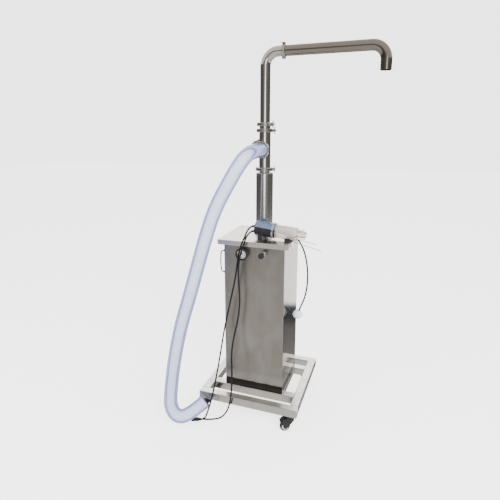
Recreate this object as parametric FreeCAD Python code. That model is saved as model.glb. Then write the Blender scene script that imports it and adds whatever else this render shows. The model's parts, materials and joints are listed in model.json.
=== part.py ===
import FreeCAD, Part
import math
import os

# Piston liquid filler on a castered stainless base.  Millimetres, +Z up.
# Origin: middle of the square base, on the floor.  -Y is the front panel, +X the spout side.

Vec = FreeCAD.Vector

# ---- driving dimensions -------------------------------------------------------------
BASE = 500.0                # outer side of the square base frame
HEIGHT = 1780.0             # floor to the top of the arm clamp
RAIL = 40.0                 # square frame tube
RAIL_WALL = 2.0
CASTER_H = 78.0             # floor to the underside of the frame
CROSS_FRONT_Y = -148.0      # front faces of the two cross rails
CROSS_REAR_Y = 114.0

CAB_W = 302.0               # cabinet
CAB_D = 280.0
SHEET = 1.5
LID_TOP = 893.0
LID_SKIRT = 24.0
LID_OVERHANG = 25.0
LID_SHEET = 2.0
REAR_STRIP = 20.0           # width of the frame round the rear opening
REAR_OPENING_TOP = 845.0

COL_X = 8.0                 # pump column axis
COL_Y = 0.0
BARREL_R = 41.0
BARREL_BORE = 38.0
BARREL_TOP = 1200.0
STROKE = 220.0
ROD_R = 12.5
TEE_R = 27.0
TEE_BORE = 24.0
BRANCH_Z = 1310.0
BRANCH_R = 25.5
BRANCH_BORE = 22.0
TUBE_R = 23.5               # mast, arm and spout tube
TUBE_BORE = 21.5
FERRULE_R = 32.0
FERRULE_T = 6.0
TEE_BOTTOM = 1217.0         # clamp planes up the column
SPOOL_BOTTOM = 1398.0
MAST_BOTTOM = 1426.0
BRANCH_FACE_Y = -58.0
ARM_FERRULE_R = 27.0
ARM_CLAMP_X = 94.0
ELBOW_R = 60.0
SPOUT_X = 534.0
SPOUT_MOUTH = 1642.0
CLAMP_HALF = 8.0            # half the axial width of a clamp
CLAMP_RIM = 6.5             # clamp ring outside the ferrule
ARM_CLAMP_RISE = 36.0       # arm axis to the top of its clamp bolt
ARM_Z = HEIGHT - ARM_CLAMP_RISE
JOINT_GAP = 0.3             # between faces that turn against each other
RUNNING = 0.05              # radial clearance of shafts in their bores

GAUGE_X, GAUGE_Z, GAUGE_R = -53.0, 829.0, 30.0
KNOB_X, KNOB_Z = 49.0, 834.0

WHEEL_R = 25.0
TRAIL = 24.0
CASTERS = {                 # stem position and resting direction of trail
    "fr": (215.0, -230.0, 212.0),
    "fl": (-215.0, -230.0, 165.0),
    "rr": (215.0, 230.0, 205.0),
    "rl": (-215.0, 230.0, 196.0),
}

HOSE_R, HOSE_BORE = 32.5, 25.5
CABLE_R = 4.0
LOOP_R = 3.0

SENSOR_R = 35.0
SENSOR_START = Vec(-7.0, -80.0, 946.0)
SENSOR_TILT = 5.7           # degrees, nose down
SENSOR_SPLIT = 10.0         # height of the joint between case and cover
SENSOR_BODY_L = 100.0
SENSOR_GUARD_L = 102.0
SENSOR_NOSE_L = 42.0
SENSOR_GLANDS = ((-6.0, 6.0), (2.0, -20.0))   # cable outlets on the end face, across and up

FLOAT_R = 25.0
FLOAT_AT = Vec(191.0, -14.0, 499.0)
FLOAT_NECK = Vec(0.34, -0.18, 0.92)    # direction of the float's cable neck
PLUG_AT = Vec(-222.0, -322.0, 10.0)

# ---- routes of the free cords, centre lines -----------------------------------------
HOSE_ROUTE = [
    (8, -66.5, 1310), (8, -138, 1310), (-11, -206, 1294), (-43, -240, 1238), (-82, -262, 1160),
    (-132, -278, 1062), (-172, -292, 940), (-207, -308, 808), (-244, -326, 664), (-290, -346, 500),
    (-320, -362, 340), (-338, -374, 192), (-342, -384, 86), (-296, -376, 34), (-236, -330, 64),
    (-200, -294, 96),
]
CABLE_A_ROUTE = [
    (-14, -86, 953), (-30, -91, 950.5), (-37, -112, 940), (-38, -138, 927), (-36, -163, 915),
    (-38, -185, 899), (-48, -188, 871), (-58, -186, 836), (-65, -184, 796), (-71, -185, 748),
    (-81, -184, 690), (-96, -186, 622), (-112, -190, 545), (-129, -196, 462), (-135, -218, 386),
    (-138, -246, 312), (-146, -266, 236), (-155, -278, 172), (-162, -294, 122), (-169, -310, 84),
    (-178, -320, 48), (-191, -323, 19), (-220, -326, 10),
]
CABLE_B_ROUTE = [
    (-17, -78, 927), (-31, -85, 924.5), (-36, -106, 918), (-36, -132, 912), (-33, -160, 906),
    (-29, -185, 892), (-38, -192, 864), (-49, -193, 828), (-56, -191, 790), (-60, -187, 745),
    (-60, -184, 698), (-54, -184, 640), (-55, -186, 570), (-65, -190, 490), (-79, -208, 415),
    (-83, -228, 340), (-74, -246, 270), (-68, -262, 205), (-70, -268, 150), (-78, -268, 96),
    (-92, -268, 50), (-118, -278, 14), (-152, -290, 5), (-182, -302, 5), (-204, -311, 7),
    (-223, -318, 10),
]
FLOAT_CABLE_ROUTE = [
    (164, -50, 904), (180, -50, 905), (195, -51, 893), (208, -53, 873), (223, -56, 846),
    (234, -58, 812), (242, -58, 768), (245, -53, 715), (241, -46, 655), (229, -36, 597),
    (211, -25, 553), (199.6, -18.7, 522.2),
]


# ---- helpers ------------------------------------------------------------------------
def box(x0, x1, y0, y1, z0, z1):
    return Part.makeBox(x1 - x0, y1 - y0, z1 - z0, Vec(x0, y0, z0))


def rod(radius, start, end):
    run = end.sub(start)
    return Part.makeCylinder(radius, run.Length, start, run)


def pipe(outer, bore, start, end):
    return rod(outer, start, end).cut(rod(bore, start, end))


def disc(radius, centre_x, centre_y, z0, z1):
    return rod(radius, Vec(centre_x, centre_y, z0), Vec(centre_x, centre_y, z1))


def round_edges(solid, radius, direction):
    """Round the long edges of a bar that run along one direction."""
    edges = []
    for edge in solid.Edges:
        run = edge.Vertexes[-1].Point.sub(edge.Vertexes[0].Point)
        if run.Length > 0 and abs(run.dot(direction)) > 0.999 * run.Length:
            edges.append(edge)
    return solid.makeFillet(radius, edges)


def turned(outline):
    """Solid of revolution about Z from (radius, height) corners."""
    corners = [Vec(radius, 0, height) for radius, height in outline]
    wire = Part.makePolygon(corners + corners[:1])
    return Part.Face(wire).revolve(Vec(0, 0, 0), Vec(0, 0, 1), 360)


def placed(shape, origin, x_dir, z_dir):
    """Move a shape from the local frame to one given by its X and Z directions."""
    y_dir = z_dir.cross(x_dir)
    matrix = FreeCAD.Matrix(
        x_dir.x, y_dir.x, z_dir.x, origin.x,
        x_dir.y, y_dir.y, z_dir.y, origin.y,
        x_dir.z, y_dir.z, z_dir.z, origin.z,
        0, 0, 0, 1)
    return shape.transformed(matrix)


def arc_path(route, name):
    """Wire of straight runs joined by tangent arcs, and the least arc radius."""
    points = [Vec(*point) for point in route]
    edges = []
    start = points[0]
    radii = []
    for before, corner, after in zip(points, points[1:], points[2:]):
        back = before.sub(corner)
        ahead = after.sub(corner)
        cut = 0.45 * min(back.Length, ahead.Length)
        back.normalize()
        ahead.normalize()
        half_turn = (math.pi - back.getAngle(ahead)) / 2
        radius = cut / math.tan(half_turn)
        radii.append(radius)
        enter = corner.add(back.multiply(cut))
        leave = corner.add(Vec(ahead).multiply(cut))
        middle_dir = enter.add(leave).multiply(0.5).sub(corner)
        centre_distance = radius / math.cos(half_turn)
        middle = corner.add(middle_dir.normalize().multiply(centre_distance - radius))
        edges.append(Part.LineSegment(start, enter).toShape())
        edges.append(Part.Arc(enter, middle, leave).toShape())
        start = leave
    edges.append(Part.LineSegment(start, points[-1]).toShape())
    wire = Part.Wire(edges)
    if radii:
        print("%-14s length %7.1f  radii %s" % (name, wire.Length, " ".join("%.0f" % r for r in radii)))
    return wire


def swept(route, radius, name):
    """Round bar along a route."""
    wire = arc_path(route, name)
    start = Vec(*route[0])
    heading = Vec(*route[1]).sub(start)
    section = Part.Wire(Part.Circle(start, heading, radius).toShape())
    bar = wire.makePipeShell([section], True, False)
    ideal = math.pi * radius * radius * wire.Length
    if not bar.isValid() or abs(bar.Volume / ideal - 1) > 0.01:
        raise RuntimeError("%s: bad sweep, volume ratio %.4f" % (name, bar.Volume / ideal))
    return bar


def tube_along(route, outer, bore, name):
    return swept(route, outer, name).cut(swept(route, bore, name))


# ---- base frame ---------------------------------------------------------------------
HALF = BASE / 2
FRAME_TOP = CASTER_H + RAIL
X, Y, Z = Vec(1, 0, 0), Vec(0, 1, 0), Vec(0, 0, 1)


def square_tube(x0, x1, y0, y1, along):
    """Horizontal frame tube with rounded outside corners."""
    outer = round_edges(box(x0, x1, y0, y1, CASTER_H, FRAME_TOP), 3.0, along)
    inset = Vec(RAIL_WALL * (1 - along.x), RAIL_WALL * (1 - along.y), RAIL_WALL)
    bore = box(x0 + inset.x, x1 - inset.x, y0 + inset.y, y1 - inset.y,
               CASTER_H + inset.z, FRAME_TOP - inset.z)
    return outer.cut(bore)


def stem_hole(x, y):
    return disc(6.2, x, y, CASTER_H - 1, CASTER_H + RAIL_WALL + 1)


def outer_rail(side):
    """Front (-1) or rear (+1) rail with its two welded end plates."""
    y_out, y_in = side * HALF, side * (HALF - RAIL)
    tube = square_tube(-HALF, HALF, min(y_out, y_in), max(y_out, y_in), X)
    for x, y, _ in CASTERS.values():
        if y * side > 0:
            tube = tube.cut(stem_hole(x, y))
    gap = RAIL_WALL
    plates = [box(x, x + gap, min(y_out, y_in) + gap, max(y_out, y_in) - gap,
                  CASTER_H + gap, FRAME_TOP - gap) for x in (-HALF, HALF - gap)]
    return Part.makeCompound([tube] + plates)


def frame_parts():
    inner = HALF - RAIL
    bearer_x = CAB_W / 2
    bearers = [square_tube(min(a, b), max(a, b), CROSS_FRONT_Y + RAIL, CROSS_REAR_Y, Y)
               for a, b in ((bearer_x - RAIL, bearer_x), (RAIL - bearer_x, -bearer_x))]
    return {
        "front_rail": outer_rail(-1),
        "rear_rail": outer_rail(1),
        "left_rail": square_tube(-HALF, -inner, -inner, inner, Y),
        "right_rail": square_tube(inner, HALF, -inner, inner, Y),
        "front_cross_rail": square_tube(-inner, inner, CROSS_FRONT_Y, CROSS_FRONT_Y + RAIL, X),
        "rear_cross_rail": square_tube(-inner, inner, CROSS_REAR_Y, CROSS_REAR_Y + RAIL, X),
        "bearer_rails": Part.makeCompound(bearers),
    }


# ---- casters ------------------------------------------------------------------------
CHEEK_IN, CHEEK_OUT = 11.5, 14.5
AXLE_R = 4.0
PEDAL_PIN = Vec(33.0, 0.0, 57.0)
PEDAL_PIN_R = 2.5
PAD_AT = Vec(46.0, 0.0, 49.0)


def across(radius, point, half):
    """Bar across the caster, in its local frame: X along the trail, Y along the axle."""
    return rod(radius, point.sub(Vec(0, half, 0)), point.add(Vec(0, half, 0)))


def caster_stem():
    cup = disc(22, 0, 0, 70, CASTER_H).cut(disc(5 + RUNNING, 0, 0, 69, 75.3))
    return cup.fuse(disc(6, 0, 0, CASTER_H, CASTER_H + 26))


def caster_fork():
    """Swivel head, bridge, two cheeks and king pin, with the axle as a second solid."""
    corners = [(-18, 66), (40, 66), (40, 50), (33, 20), (28, 16), (20, 16), (15, 20), (-18, 56)]
    outline = [Vec(x, 0, z) for x, z in corners]
    wire = Part.makePolygon(outline + outline[:1])
    plate = Part.Face(wire).extrude(Vec(0, CHEEK_OUT - CHEEK_IN, 0))
    left, right = plate.copy(), plate.copy()
    left.translate(Vec(0, CHEEK_IN, 0))
    right.translate(Vec(0, -CHEEK_OUT, 0))
    body = box(-18, 26, -CHEEK_OUT, CHEEK_OUT, 62, 66).fuse([left, right])
    body = body.fuse([disc(21, 0, 0, 66, 70 - JOINT_GAP), disc(5, 0, 0, 66, 75)])
    wheel_centre = Vec(TRAIL, 0, WHEEL_R)
    body = body.cut(across(AXLE_R, wheel_centre, 20))
    body = body.cut(across(PEDAL_PIN_R + RUNNING, PEDAL_PIN, 20))
    axle = across(AXLE_R, wheel_centre, CHEEK_OUT)
    for side in (-1, 1):
        face = wheel_centre.add(Vec(0, side * CHEEK_OUT, 0))
        axle = axle.fuse(rod(6.5, face, face.add(Vec(0, side * 2.5, 0))))
    return Part.makeCompound([body.removeSplitter(), axle])


def caster_wheel():
    hub = turned([(AXLE_R + RUNNING, -11), (9, -11), (9, -8), (14, -8), (16, -9.5), (16, 9.5),
                  (14, 8), (9, 8), (9, 11), (AXLE_R + RUNNING, 11)])
    tyre = turned([(16, -9.5), (22, -9.5), (WHEEL_R, -6), (WHEEL_R, 6), (22, 9.5), (16, 9.5)])
    wheel = Part.makeCompound([hub, tyre])
    return placed(wheel, Vec(TRAIL, 0, WHEEL_R), X, Y)


def caster_brake():
    pedal = box(29, 50.5, -8.5, 8.5, 60, 63).fuse([
        box(29, 49, -8, 8, 54, 60), box(43, 49, -8, 8, 49, 55), across(3, PAD_AT, 8),
        across(PEDAL_PIN_R, PEDAL_PIN, CHEEK_OUT)])
    return pedal.removeSplitter()


def caster_parts():
    parts = {"caster_stems": []}
    pieces = {"fork": caster_fork(), "wheel": caster_wheel(), "brake": caster_brake()}
    for corner, (x, y, turn) in CASTERS.items():
        trail = Vec(math.cos(math.radians(turn)), math.sin(math.radians(turn)), 0)
        at = Vec(x, y, 0)
        parts["caster_stems"].append(placed(caster_stem(), at, X, Z))
        for piece, shape in pieces.items():
            parts["caster_%s_%s" % (corner, piece)] = placed(shape, at, trail, Z)
    parts["caster_stems"] = Part.makeCompound(parts["caster_stems"])
    return parts


# ---- cabinet ------------------------------------------------------------------------
CAB_X, CAB_Y = CAB_W / 2, CAB_D / 2
CAB_TOP = LID_TOP - LID_SHEET
LOOP_Y = -120.0
LOOP_ENDS = (828.0, 717.0)
HINGE_X, HINGE_Y = -141.0, 146.0
HINGE_LEVELS = (250.0, 730.0)
HINGE_HALF = 30.0
HINGE_R = 5.0
HINGE_PIN_R = 2.5
DOOR_BACK, DOOR_FACE = CAB_Y + 0.4, CAB_Y + 2.4
DOOR_BOTTOM, DOOR_TOP = 128.0, 862.0
LATCH_X, LATCH_Z, LATCH_R = 105.0, 500.0, 5.0


def cabinet_shell():
    outer = round_edges(box(-CAB_X, CAB_X, -CAB_Y, CAB_Y, FRAME_TOP, CAB_TOP), 4.0, Z)
    inner = box(-CAB_X + SHEET, CAB_X - SHEET, -CAB_Y + SHEET, CAB_Y - SHEET,
                FRAME_TOP + SHEET, CAB_TOP + 1)
    opening = box(-CAB_X + REAR_STRIP, CAB_X - REAR_STRIP, CAB_Y - 5, CAB_Y + 5,
                  FRAME_TOP + REAR_STRIP, REAR_OPENING_TOP)
    shell = outer.cut(inner).cut(opening)
    front = -CAB_Y
    for x, z, radius in ((GAUGE_X, GAUGE_Z, 6.5), (KNOB_X, KNOB_Z, 8.2)):
        shell = shell.cut(rod(radius, Vec(x, front - 2, z), Vec(x, front + 4, z)))
    for z in LOOP_ENDS:
        shell = shell.cut(rod(4.2, Vec(-CAB_X - 2, LOOP_Y, z), Vec(-CAB_X + 4, LOOP_Y, z)))
    return shell


def lid():
    x, y = CAB_X + LID_OVERHANG, CAB_Y + LID_OVERHANG
    outer = round_edges(box(-x, x, -y, y, LID_TOP - LID_SKIRT, LID_TOP), 6.0, Z)
    inner = box(-x + LID_SHEET, x - LID_SHEET, -y + LID_SHEET, y - LID_SHEET,
                LID_TOP - LID_SKIRT - 1, CAB_TOP)
    tray = outer.cut(inner).cut(disc(14, COL_X, COL_Y, CAB_TOP - 1, LID_TOP + 1))
    for side, at in lid_screw_places():
        tray = tray.cut(rod(3.0, at, at.add(Vec(side * 10, 0, 0))))
    return tray


def lid_screw_places():
    """Side of the lid and the inner end of each screw's head."""
    x = CAB_X + LID_OVERHANG - 4
    return [(side, Vec(side * x, y, LID_TOP - 13)) for side in (-1, 1) for y in (-128.0, 128.0)]


def lid_screws():
    """Button-head screws through the skirt, each with its spacer against the cabinet."""
    screws = []
    for side, at in lid_screw_places():
        skirt_in = Vec(side * (CAB_X + LID_OVERHANG - LID_SHEET), at.y, at.z)
        skirt_out = Vec(side * (CAB_X + LID_OVERHANG), at.y, at.z)
        wall = Vec(side * CAB_X, at.y, at.z)
        head = skirt_out.add(Vec(side * 3, 0, 0))
        screws.append(rod(5, wall, skirt_in).fuse([rod(3, skirt_in, skirt_out),
                                                   rod(5.5, skirt_out, head)]))
    return Part.makeCompound(screws)


def rear_door():
    side = CAB_X - 16
    door = box(-side, side, DOOR_BACK, DOOR_FACE, DOOR_BOTTOM, DOOR_TOP)
    for z in (300.0, 690.0):
        door = door.fuse(box(-115, 115, CAB_Y - 6, DOOR_BACK, z - 15, z + 15))
    for z in HINGE_LEVELS:
        third = HINGE_HALF / 3 - JOINT_GAP
        knuckle = pipe(HINGE_R, HINGE_PIN_R + RUNNING, Vec(HINGE_X, HINGE_Y, z - third),
                       Vec(HINGE_X, HINGE_Y, z + third))
        leaf = box(HINGE_X + 4, -side + 12, DOOR_FACE, DOOR_FACE + 2, z - third, z + third)
        door = door.fuse([leaf, knuckle])
    door = door.cut(rod(LATCH_R + RUNNING, Vec(LATCH_X, CAB_Y - 1, LATCH_Z),
                        Vec(LATCH_X, CAB_Y + 6, LATCH_Z)))
    return door.removeSplitter()


def door_hinges():
    """Fixed leaves with their outer knuckles, and the pins."""
    solids = []
    for z in HINGE_LEVELS:
        for low, high in ((z - HINGE_HALF, z - HINGE_HALF / 3), (z + HINGE_HALF / 3, z + HINGE_HALF)):
            knuckle = pipe(HINGE_R, HINGE_PIN_R, Vec(HINGE_X, HINGE_Y, low),
                           Vec(HINGE_X, HINGE_Y, high))
            leaf = box(-CAB_X + 1, HINGE_X - 3, CAB_Y, CAB_Y + 2, low, high)
            web = box(HINGE_X - 6, HINGE_X - 3, CAB_Y, HINGE_Y, low, high)
            solids.append(leaf.fuse([web, knuckle]).cut(
                rod(HINGE_PIN_R, Vec(HINGE_X, HINGE_Y, low), Vec(HINGE_X, HINGE_Y, high))))
        solids.append(rod(HINGE_PIN_R, Vec(HINGE_X, HINGE_Y, z - HINGE_HALF),
                          Vec(HINGE_X, HINGE_Y, z + HINGE_HALF)))
    return Part.makeCompound(solids)


def door_latch():
    """Quarter-turn handle in its open position, its shaft and the cam inside the door."""
    face = DOOR_FACE + JOINT_GAP
    shaft = rod(LATCH_R, Vec(LATCH_X, CAB_Y - 6, LATCH_Z), Vec(LATCH_X, face + 8, LATCH_Z))
    collar = rod(12, Vec(LATCH_X, face, LATCH_Z), Vec(LATCH_X, face + 4, LATCH_Z))
    grip = round_edges(box(LATCH_X - 24, LATCH_X + 24, face + 4, face + 20,
                           LATCH_Z - 6, LATCH_Z + 6), 3.0, Y)
    cam = box(LATCH_X - 7, LATCH_X + 7, CAB_Y - 6, CAB_Y - 3, LATCH_Z - 7, LATCH_Z + 35)
    return shaft.fuse([collar, grip, cam]).removeSplitter()


def cabinet_parts():
    return {
        "cabinet_shell": cabinet_shell(),
        "lid": lid(),
        "lid_screws": lid_screws(),
        "rear_door": rear_door(),
        "door_hinges": door_hinges(),
        "door_latch": door_latch(),
    }


# ---- gauge, regulator and air loop --------------------------------------------------
GAUGE_DEPTH = 26.0
DIAL_Y = -CAB_Y - 16.0
REGULATOR_SHAFT_R = 4.0


def gauge_body():
    """Case with its bezel, dial plate, centre pin and the stem through the panel."""
    centre = Vec(GAUGE_X, -CAB_Y, GAUGE_Z)
    case = turned([(0, 0), (GAUGE_R - 3, 0), (GAUGE_R - 1, 2), (GAUGE_R - 1, GAUGE_DEPTH - 7),
                   (GAUGE_R, GAUGE_DEPTH - 6), (GAUGE_R, GAUGE_DEPTH), (GAUGE_R - 3.5, GAUGE_DEPTH),
                   (GAUGE_R - 3.5, 16), (0, 16)])
    pin = disc(1.0, 0, 0, 16, 19)
    stem = disc(6, 0, 0, -16, 0)
    return placed(case.fuse([pin, stem]), centre, X, Vec(0, -1, 0))


def gauge_pointer():
    hub = disc(3, 0, 0, 16.4, 18).fuse(box(-0.9, 0.9, -6, 20, 16.8, 17.6))
    pointer = hub.cut(disc(1.0 + RUNNING, 0, 0, 16, 19))
    pointer.rotate(Vec(0, 0, 0), Z, 135)
    return placed(pointer, Vec(GAUGE_X, -CAB_Y, GAUGE_Z), X, Vec(0, -1, 0))


def regulator_body():
    body = turned([(0, -14), (8, -14), (8, 0), (13, 0), (13, 5), (11, 7), (8, 7), (8, 27),
                   (REGULATOR_SHAFT_R, 27), (REGULATOR_SHAFT_R, 42), (0, 42)])
    return placed(body, Vec(KNOB_X, -CAB_Y, KNOB_Z), X, Vec(0, -1, 0))


def regulator_knob():
    bore = REGULATOR_SHAFT_R + RUNNING
    knob = turned([(bore, 27 + JOINT_GAP), (12, 27 + JOINT_GAP), (13, 29), (13, 43), (11, 45.5),
                   (0, 45.5), (0, 42 + JOINT_GAP), (bore, 42 + JOINT_GAP)])
    flute = disc(2.2, 14.2, 0, 30, 46)
    for step in range(8):
        cutter = flute.copy()
        cutter.rotate(Vec(0, 0, 0), Z, step * 45)
        knob = knob.cut(cutter)
    return placed(knob, Vec(KNOB_X, -CAB_Y, KNOB_Z), X, Vec(0, -1, 0))


def air_loop():
    """Bent plastic air tube between two push fittings on the left side."""
    out = -CAB_X - 8
    high, low = LOOP_ENDS
    route = [(out, LOOP_Y, high), (out - 14, LOOP_Y, high - 4), (out - 19, LOOP_Y, high - 40),
             (out - 18, LOOP_Y, low + 34), (out - 14, LOOP_Y, low + 4), (out, LOOP_Y, low)]
    solids = [swept(route, LOOP_R, "air_loop")]
    for z in LOOP_ENDS:
        nut = rod(6.0, Vec(-CAB_X, LOOP_Y, z), Vec(out, LOOP_Y, z))
        thread = rod(4.0, Vec(-CAB_X + 10, LOOP_Y, z), Vec(-CAB_X, LOOP_Y, z))
        solids.append(nut.fuse(thread))
    return Part.makeCompound(solids)


def instrument_parts():
    return {
        "gauge_body": gauge_body(),
        "gauge_pointer": gauge_pointer(),
        "regulator_body": regulator_body(),
        "regulator_knob": regulator_knob(),
        "air_loop": air_loop(),
    }


# ---- air cylinder and product piston ------------------------------------------------
CYL_R, CYL_BORE = 48.0, 44.0
CYL_CAP_HALF = 52.0
CYL_TOP, CYL_CAP_T = CAB_TOP, 30.0
CYL_BOTTOM = 570.0
TIE_AT, TIE_R = 42.0, 5.0
BARREL_FLOOR = LID_TOP + 6.0
PISTON_LOW, PISTON_T = 901.0, 40.0


def column(z):
    return Vec(COL_X, COL_Y, z)


def air_cylinder():
    solids = []
    for low, bore in ((CYL_BOTTOM, 0), (CYL_TOP - CYL_CAP_T, ROD_R + RUNNING)):
        cap = round_edges(box(COL_X - CYL_CAP_HALF, COL_X + CYL_CAP_HALF, COL_Y - CYL_CAP_HALF,
                              COL_Y + CYL_CAP_HALF, low, low + CYL_CAP_T), 6.0, Z)
        if bore:
            cap = cap.cut(rod(bore, column(low - 1), column(low + CYL_CAP_T + 1)))
        for x, y in tie_places():
            cap = cap.cut(disc(TIE_R, x, y, low - 1, low + CYL_CAP_T + 1))
        solids.append(cap)
    solids.append(pipe(CYL_R, CYL_BORE, column(CYL_BOTTOM + CYL_CAP_T), column(CYL_TOP - CYL_CAP_T)))
    return Part.makeCompound(solids)


def tie_places():
    return [(COL_X + sx * TIE_AT, COL_Y + sy * TIE_AT) for sx in (-1, 1) for sy in (-1, 1)]


def tie_rods():
    rods = []
    for x, y in tie_places():
        nut = Part.Face(Part.makePolygon([
            Vec(x + 9 * math.cos(math.radians(a)), y + 9 * math.sin(math.radians(a)), CYL_BOTTOM - 8)
            for a in range(0, 361, 60)])).extrude(Vec(0, 0, 8))
        rods.append(disc(TIE_R, x, y, CYL_BOTTOM - 12, CYL_TOP).fuse(nut))
    return Part.makeCompound(rods)


def piston_rod():
    low = CYL_BOTTOM + CYL_CAP_T + 4
    head = rod(CYL_BORE - RUNNING, column(low), column(low + 25))
    return rod(ROD_R, column(low), column(PISTON_LOW + PISTON_T)).fuse(head)


def piston():
    """Product piston with two seal grooves."""
    high = PISTON_LOW + PISTON_T
    body = pipe(BARREL_BORE - 0.4, ROD_R, column(PISTON_LOW), column(high))
    for low in seal_levels():
        body = body.cut(pipe(BARREL_BORE, BARREL_BORE - 4, column(low), column(low + 6)))
    return body


def seal_levels():
    return (PISTON_LOW + 6, PISTON_LOW + 28)


def piston_seals():
    return Part.makeCompound([
        pipe(BARREL_BORE - RUNNING, BARREL_BORE - 4, column(low), column(low + 6))
        for low in seal_levels()])


def barrel():
    """Pump barrel: base collar, tube, shoulder, neck and ferrule, bored through."""
    outer = rod(BARREL_R + 6, column(LID_TOP), column(BARREL_FLOOR)).fuse([
        rod(BARREL_R, column(BARREL_FLOOR), column(BARREL_TOP)),
        rod(BRANCH_R, column(BARREL_TOP), column(TEE_BOTTOM - FERRULE_T)),
        rod(FERRULE_R, column(TEE_BOTTOM - FERRULE_T), column(TEE_BOTTOM))])
    body = outer.removeSplitter()
    rim = [edge for edge in body.Edges
           if abs(edge.BoundBox.ZMin - BARREL_TOP) < 0.1 and edge.BoundBox.XLength > 1.9 * BARREL_R]
    body = body.makeFillet(3.0, rim[:1])
    for radius, low, high in ((ROD_R + RUNNING, LID_TOP - 1, BARREL_FLOOR),
                              (BARREL_BORE, BARREL_FLOOR, BARREL_TOP - 6),
                              (BRANCH_BORE, BARREL_TOP - 6, TEE_BOTTOM + 1)):
        body = body.cut(rod(radius, column(low), column(high)))
    return body


def tee():
    """Suction tee with three ferrules; the branch faces the front."""
    face = Vec(COL_X, BRANCH_FACE_Y, BRANCH_Z)
    neck = face.add(Vec(0, FERRULE_T, 0))
    middle = column(BRANCH_Z)
    outer = rod(TEE_R, column(TEE_BOTTOM), column(SPOOL_BOTTOM)).fuse([
        rod(FERRULE_R, column(TEE_BOTTOM), column(TEE_BOTTOM + FERRULE_T)),
        rod(FERRULE_R, column(SPOOL_BOTTOM - FERRULE_T), column(SPOOL_BOTTOM)),
        rod(BRANCH_R, middle, neck), rod(FERRULE_R, neck, face)])
    bores = rod(TEE_BORE, column(TEE_BOTTOM), column(SPOOL_BOTTOM)).fuse(
        rod(BRANCH_BORE, middle, face))
    return outer.cut(bores).removeSplitter()


def wing_guided_poppet(disc_r, fin_r, length):
    """Valve disc with four guide fins, along local Z."""
    shape = disc(disc_r, 0, 0, 0, 3)
    fins = box(-fin_r, fin_r, -1.2, 1.2, 3, length).fuse(box(-1.2, 1.2, -fin_r, fin_r, 3, length))
    return shape.fuse(fins.common(disc(fin_r, 0, 0, 3, length))).removeSplitter()


SEAT_R = 14.0
ADAPTER_SEAT_Y = -92.0
ADAPTER_END_Y = -106.0


def hose_adapter():
    """Ferrule and hose barb with the inlet valve seat inside."""
    def at(y):
        return Vec(COL_X, y, BRANCH_Z)
    outer = rod(FERRULE_R, at(BRANCH_FACE_Y), at(BRANCH_FACE_Y - FERRULE_T)).fuse(
        rod(HOSE_BORE - 0.1, at(BRANCH_FACE_Y - FERRULE_T), at(ADAPTER_END_Y)))
    bores = rod(BRANCH_BORE, at(BRANCH_FACE_Y), at(ADAPTER_SEAT_Y)).fuse([
        rod(SEAT_R, at(ADAPTER_SEAT_Y), at(ADAPTER_SEAT_Y - 6)),
        rod(BRANCH_BORE, at(ADAPTER_SEAT_Y - 6), at(ADAPTER_END_Y))])
    return outer.cut(bores).removeSplitter()


SPOOL_SEAT_T = 5.0


def check_spool():
    """Short check-valve body between the tee and the mast."""
    outer = rod(BRANCH_R, column(SPOOL_BOTTOM), column(MAST_BOTTOM)).fuse([
        rod(FERRULE_R, column(SPOOL_BOTTOM), column(SPOOL_BOTTOM + FERRULE_T)),
        rod(FERRULE_R, column(MAST_BOTTOM - FERRULE_T), column(MAST_BOTTOM))])
    bores = rod(SEAT_R, column(SPOOL_BOTTOM), column(SPOOL_BOTTOM + SPOOL_SEAT_T)).fuse(
        rod(TUBE_BORE, column(SPOOL_BOTTOM + SPOOL_SEAT_T), column(MAST_BOTTOM)))
    return outer.cut(bores).removeSplitter()


def mast():
    foot = MAST_BOTTOM + JOINT_GAP
    route = [(COL_X, COL_Y, foot), (COL_X, COL_Y, ARM_Z), (ARM_CLAMP_X, COL_Y, ARM_Z)]
    return bent_tube(route, [(column(foot), Z, FERRULE_R),
                             (Vec(ARM_CLAMP_X, COL_Y, ARM_Z), X.negative(), ARM_FERRULE_R)])


def arm():
    start = ARM_CLAMP_X + JOINT_GAP
    route = [(start, COL_Y, ARM_Z), (SPOUT_X, COL_Y, ARM_Z), (SPOUT_X, COL_Y, SPOUT_MOUTH)]
    return bent_tube(route, [(Vec(start, COL_Y, ARM_Z), X, ARM_FERRULE_R)])


def bent_tube(route, ferrules):
    """Tube with one elbow of the standard radius, and its ferrules."""
    begin, corner, end = [Vec(*point) for point in route]
    back = begin.sub(corner).normalize()
    ahead = end.sub(corner).normalize()
    enter = corner.add(Vec(back).multiply(ELBOW_R))
    leave = corner.add(Vec(ahead).multiply(ELBOW_R))
    inward = back.add(ahead).normalize()
    middle = corner.add(inward.multiply(ELBOW_R * (math.sqrt(2) - 1)))
    wire = Part.Wire([Part.LineSegment(begin, enter).toShape(),
                      Part.Arc(enter, middle, leave).toShape(),
                      Part.LineSegment(leave, end).toShape()])

    def bar(radius):
        section = Part.Wire(Part.Circle(begin, back, radius).toShape())
        return wire.makePipeShell([section], True, False)
    outer = bar(TUBE_R)
    for at, direction, radius in ferrules:
        outer = outer.fuse(rod(radius, at, at.add(Vec(direction).multiply(FERRULE_T))))
    return outer.cut(bar(TUBE_BORE))


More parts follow.
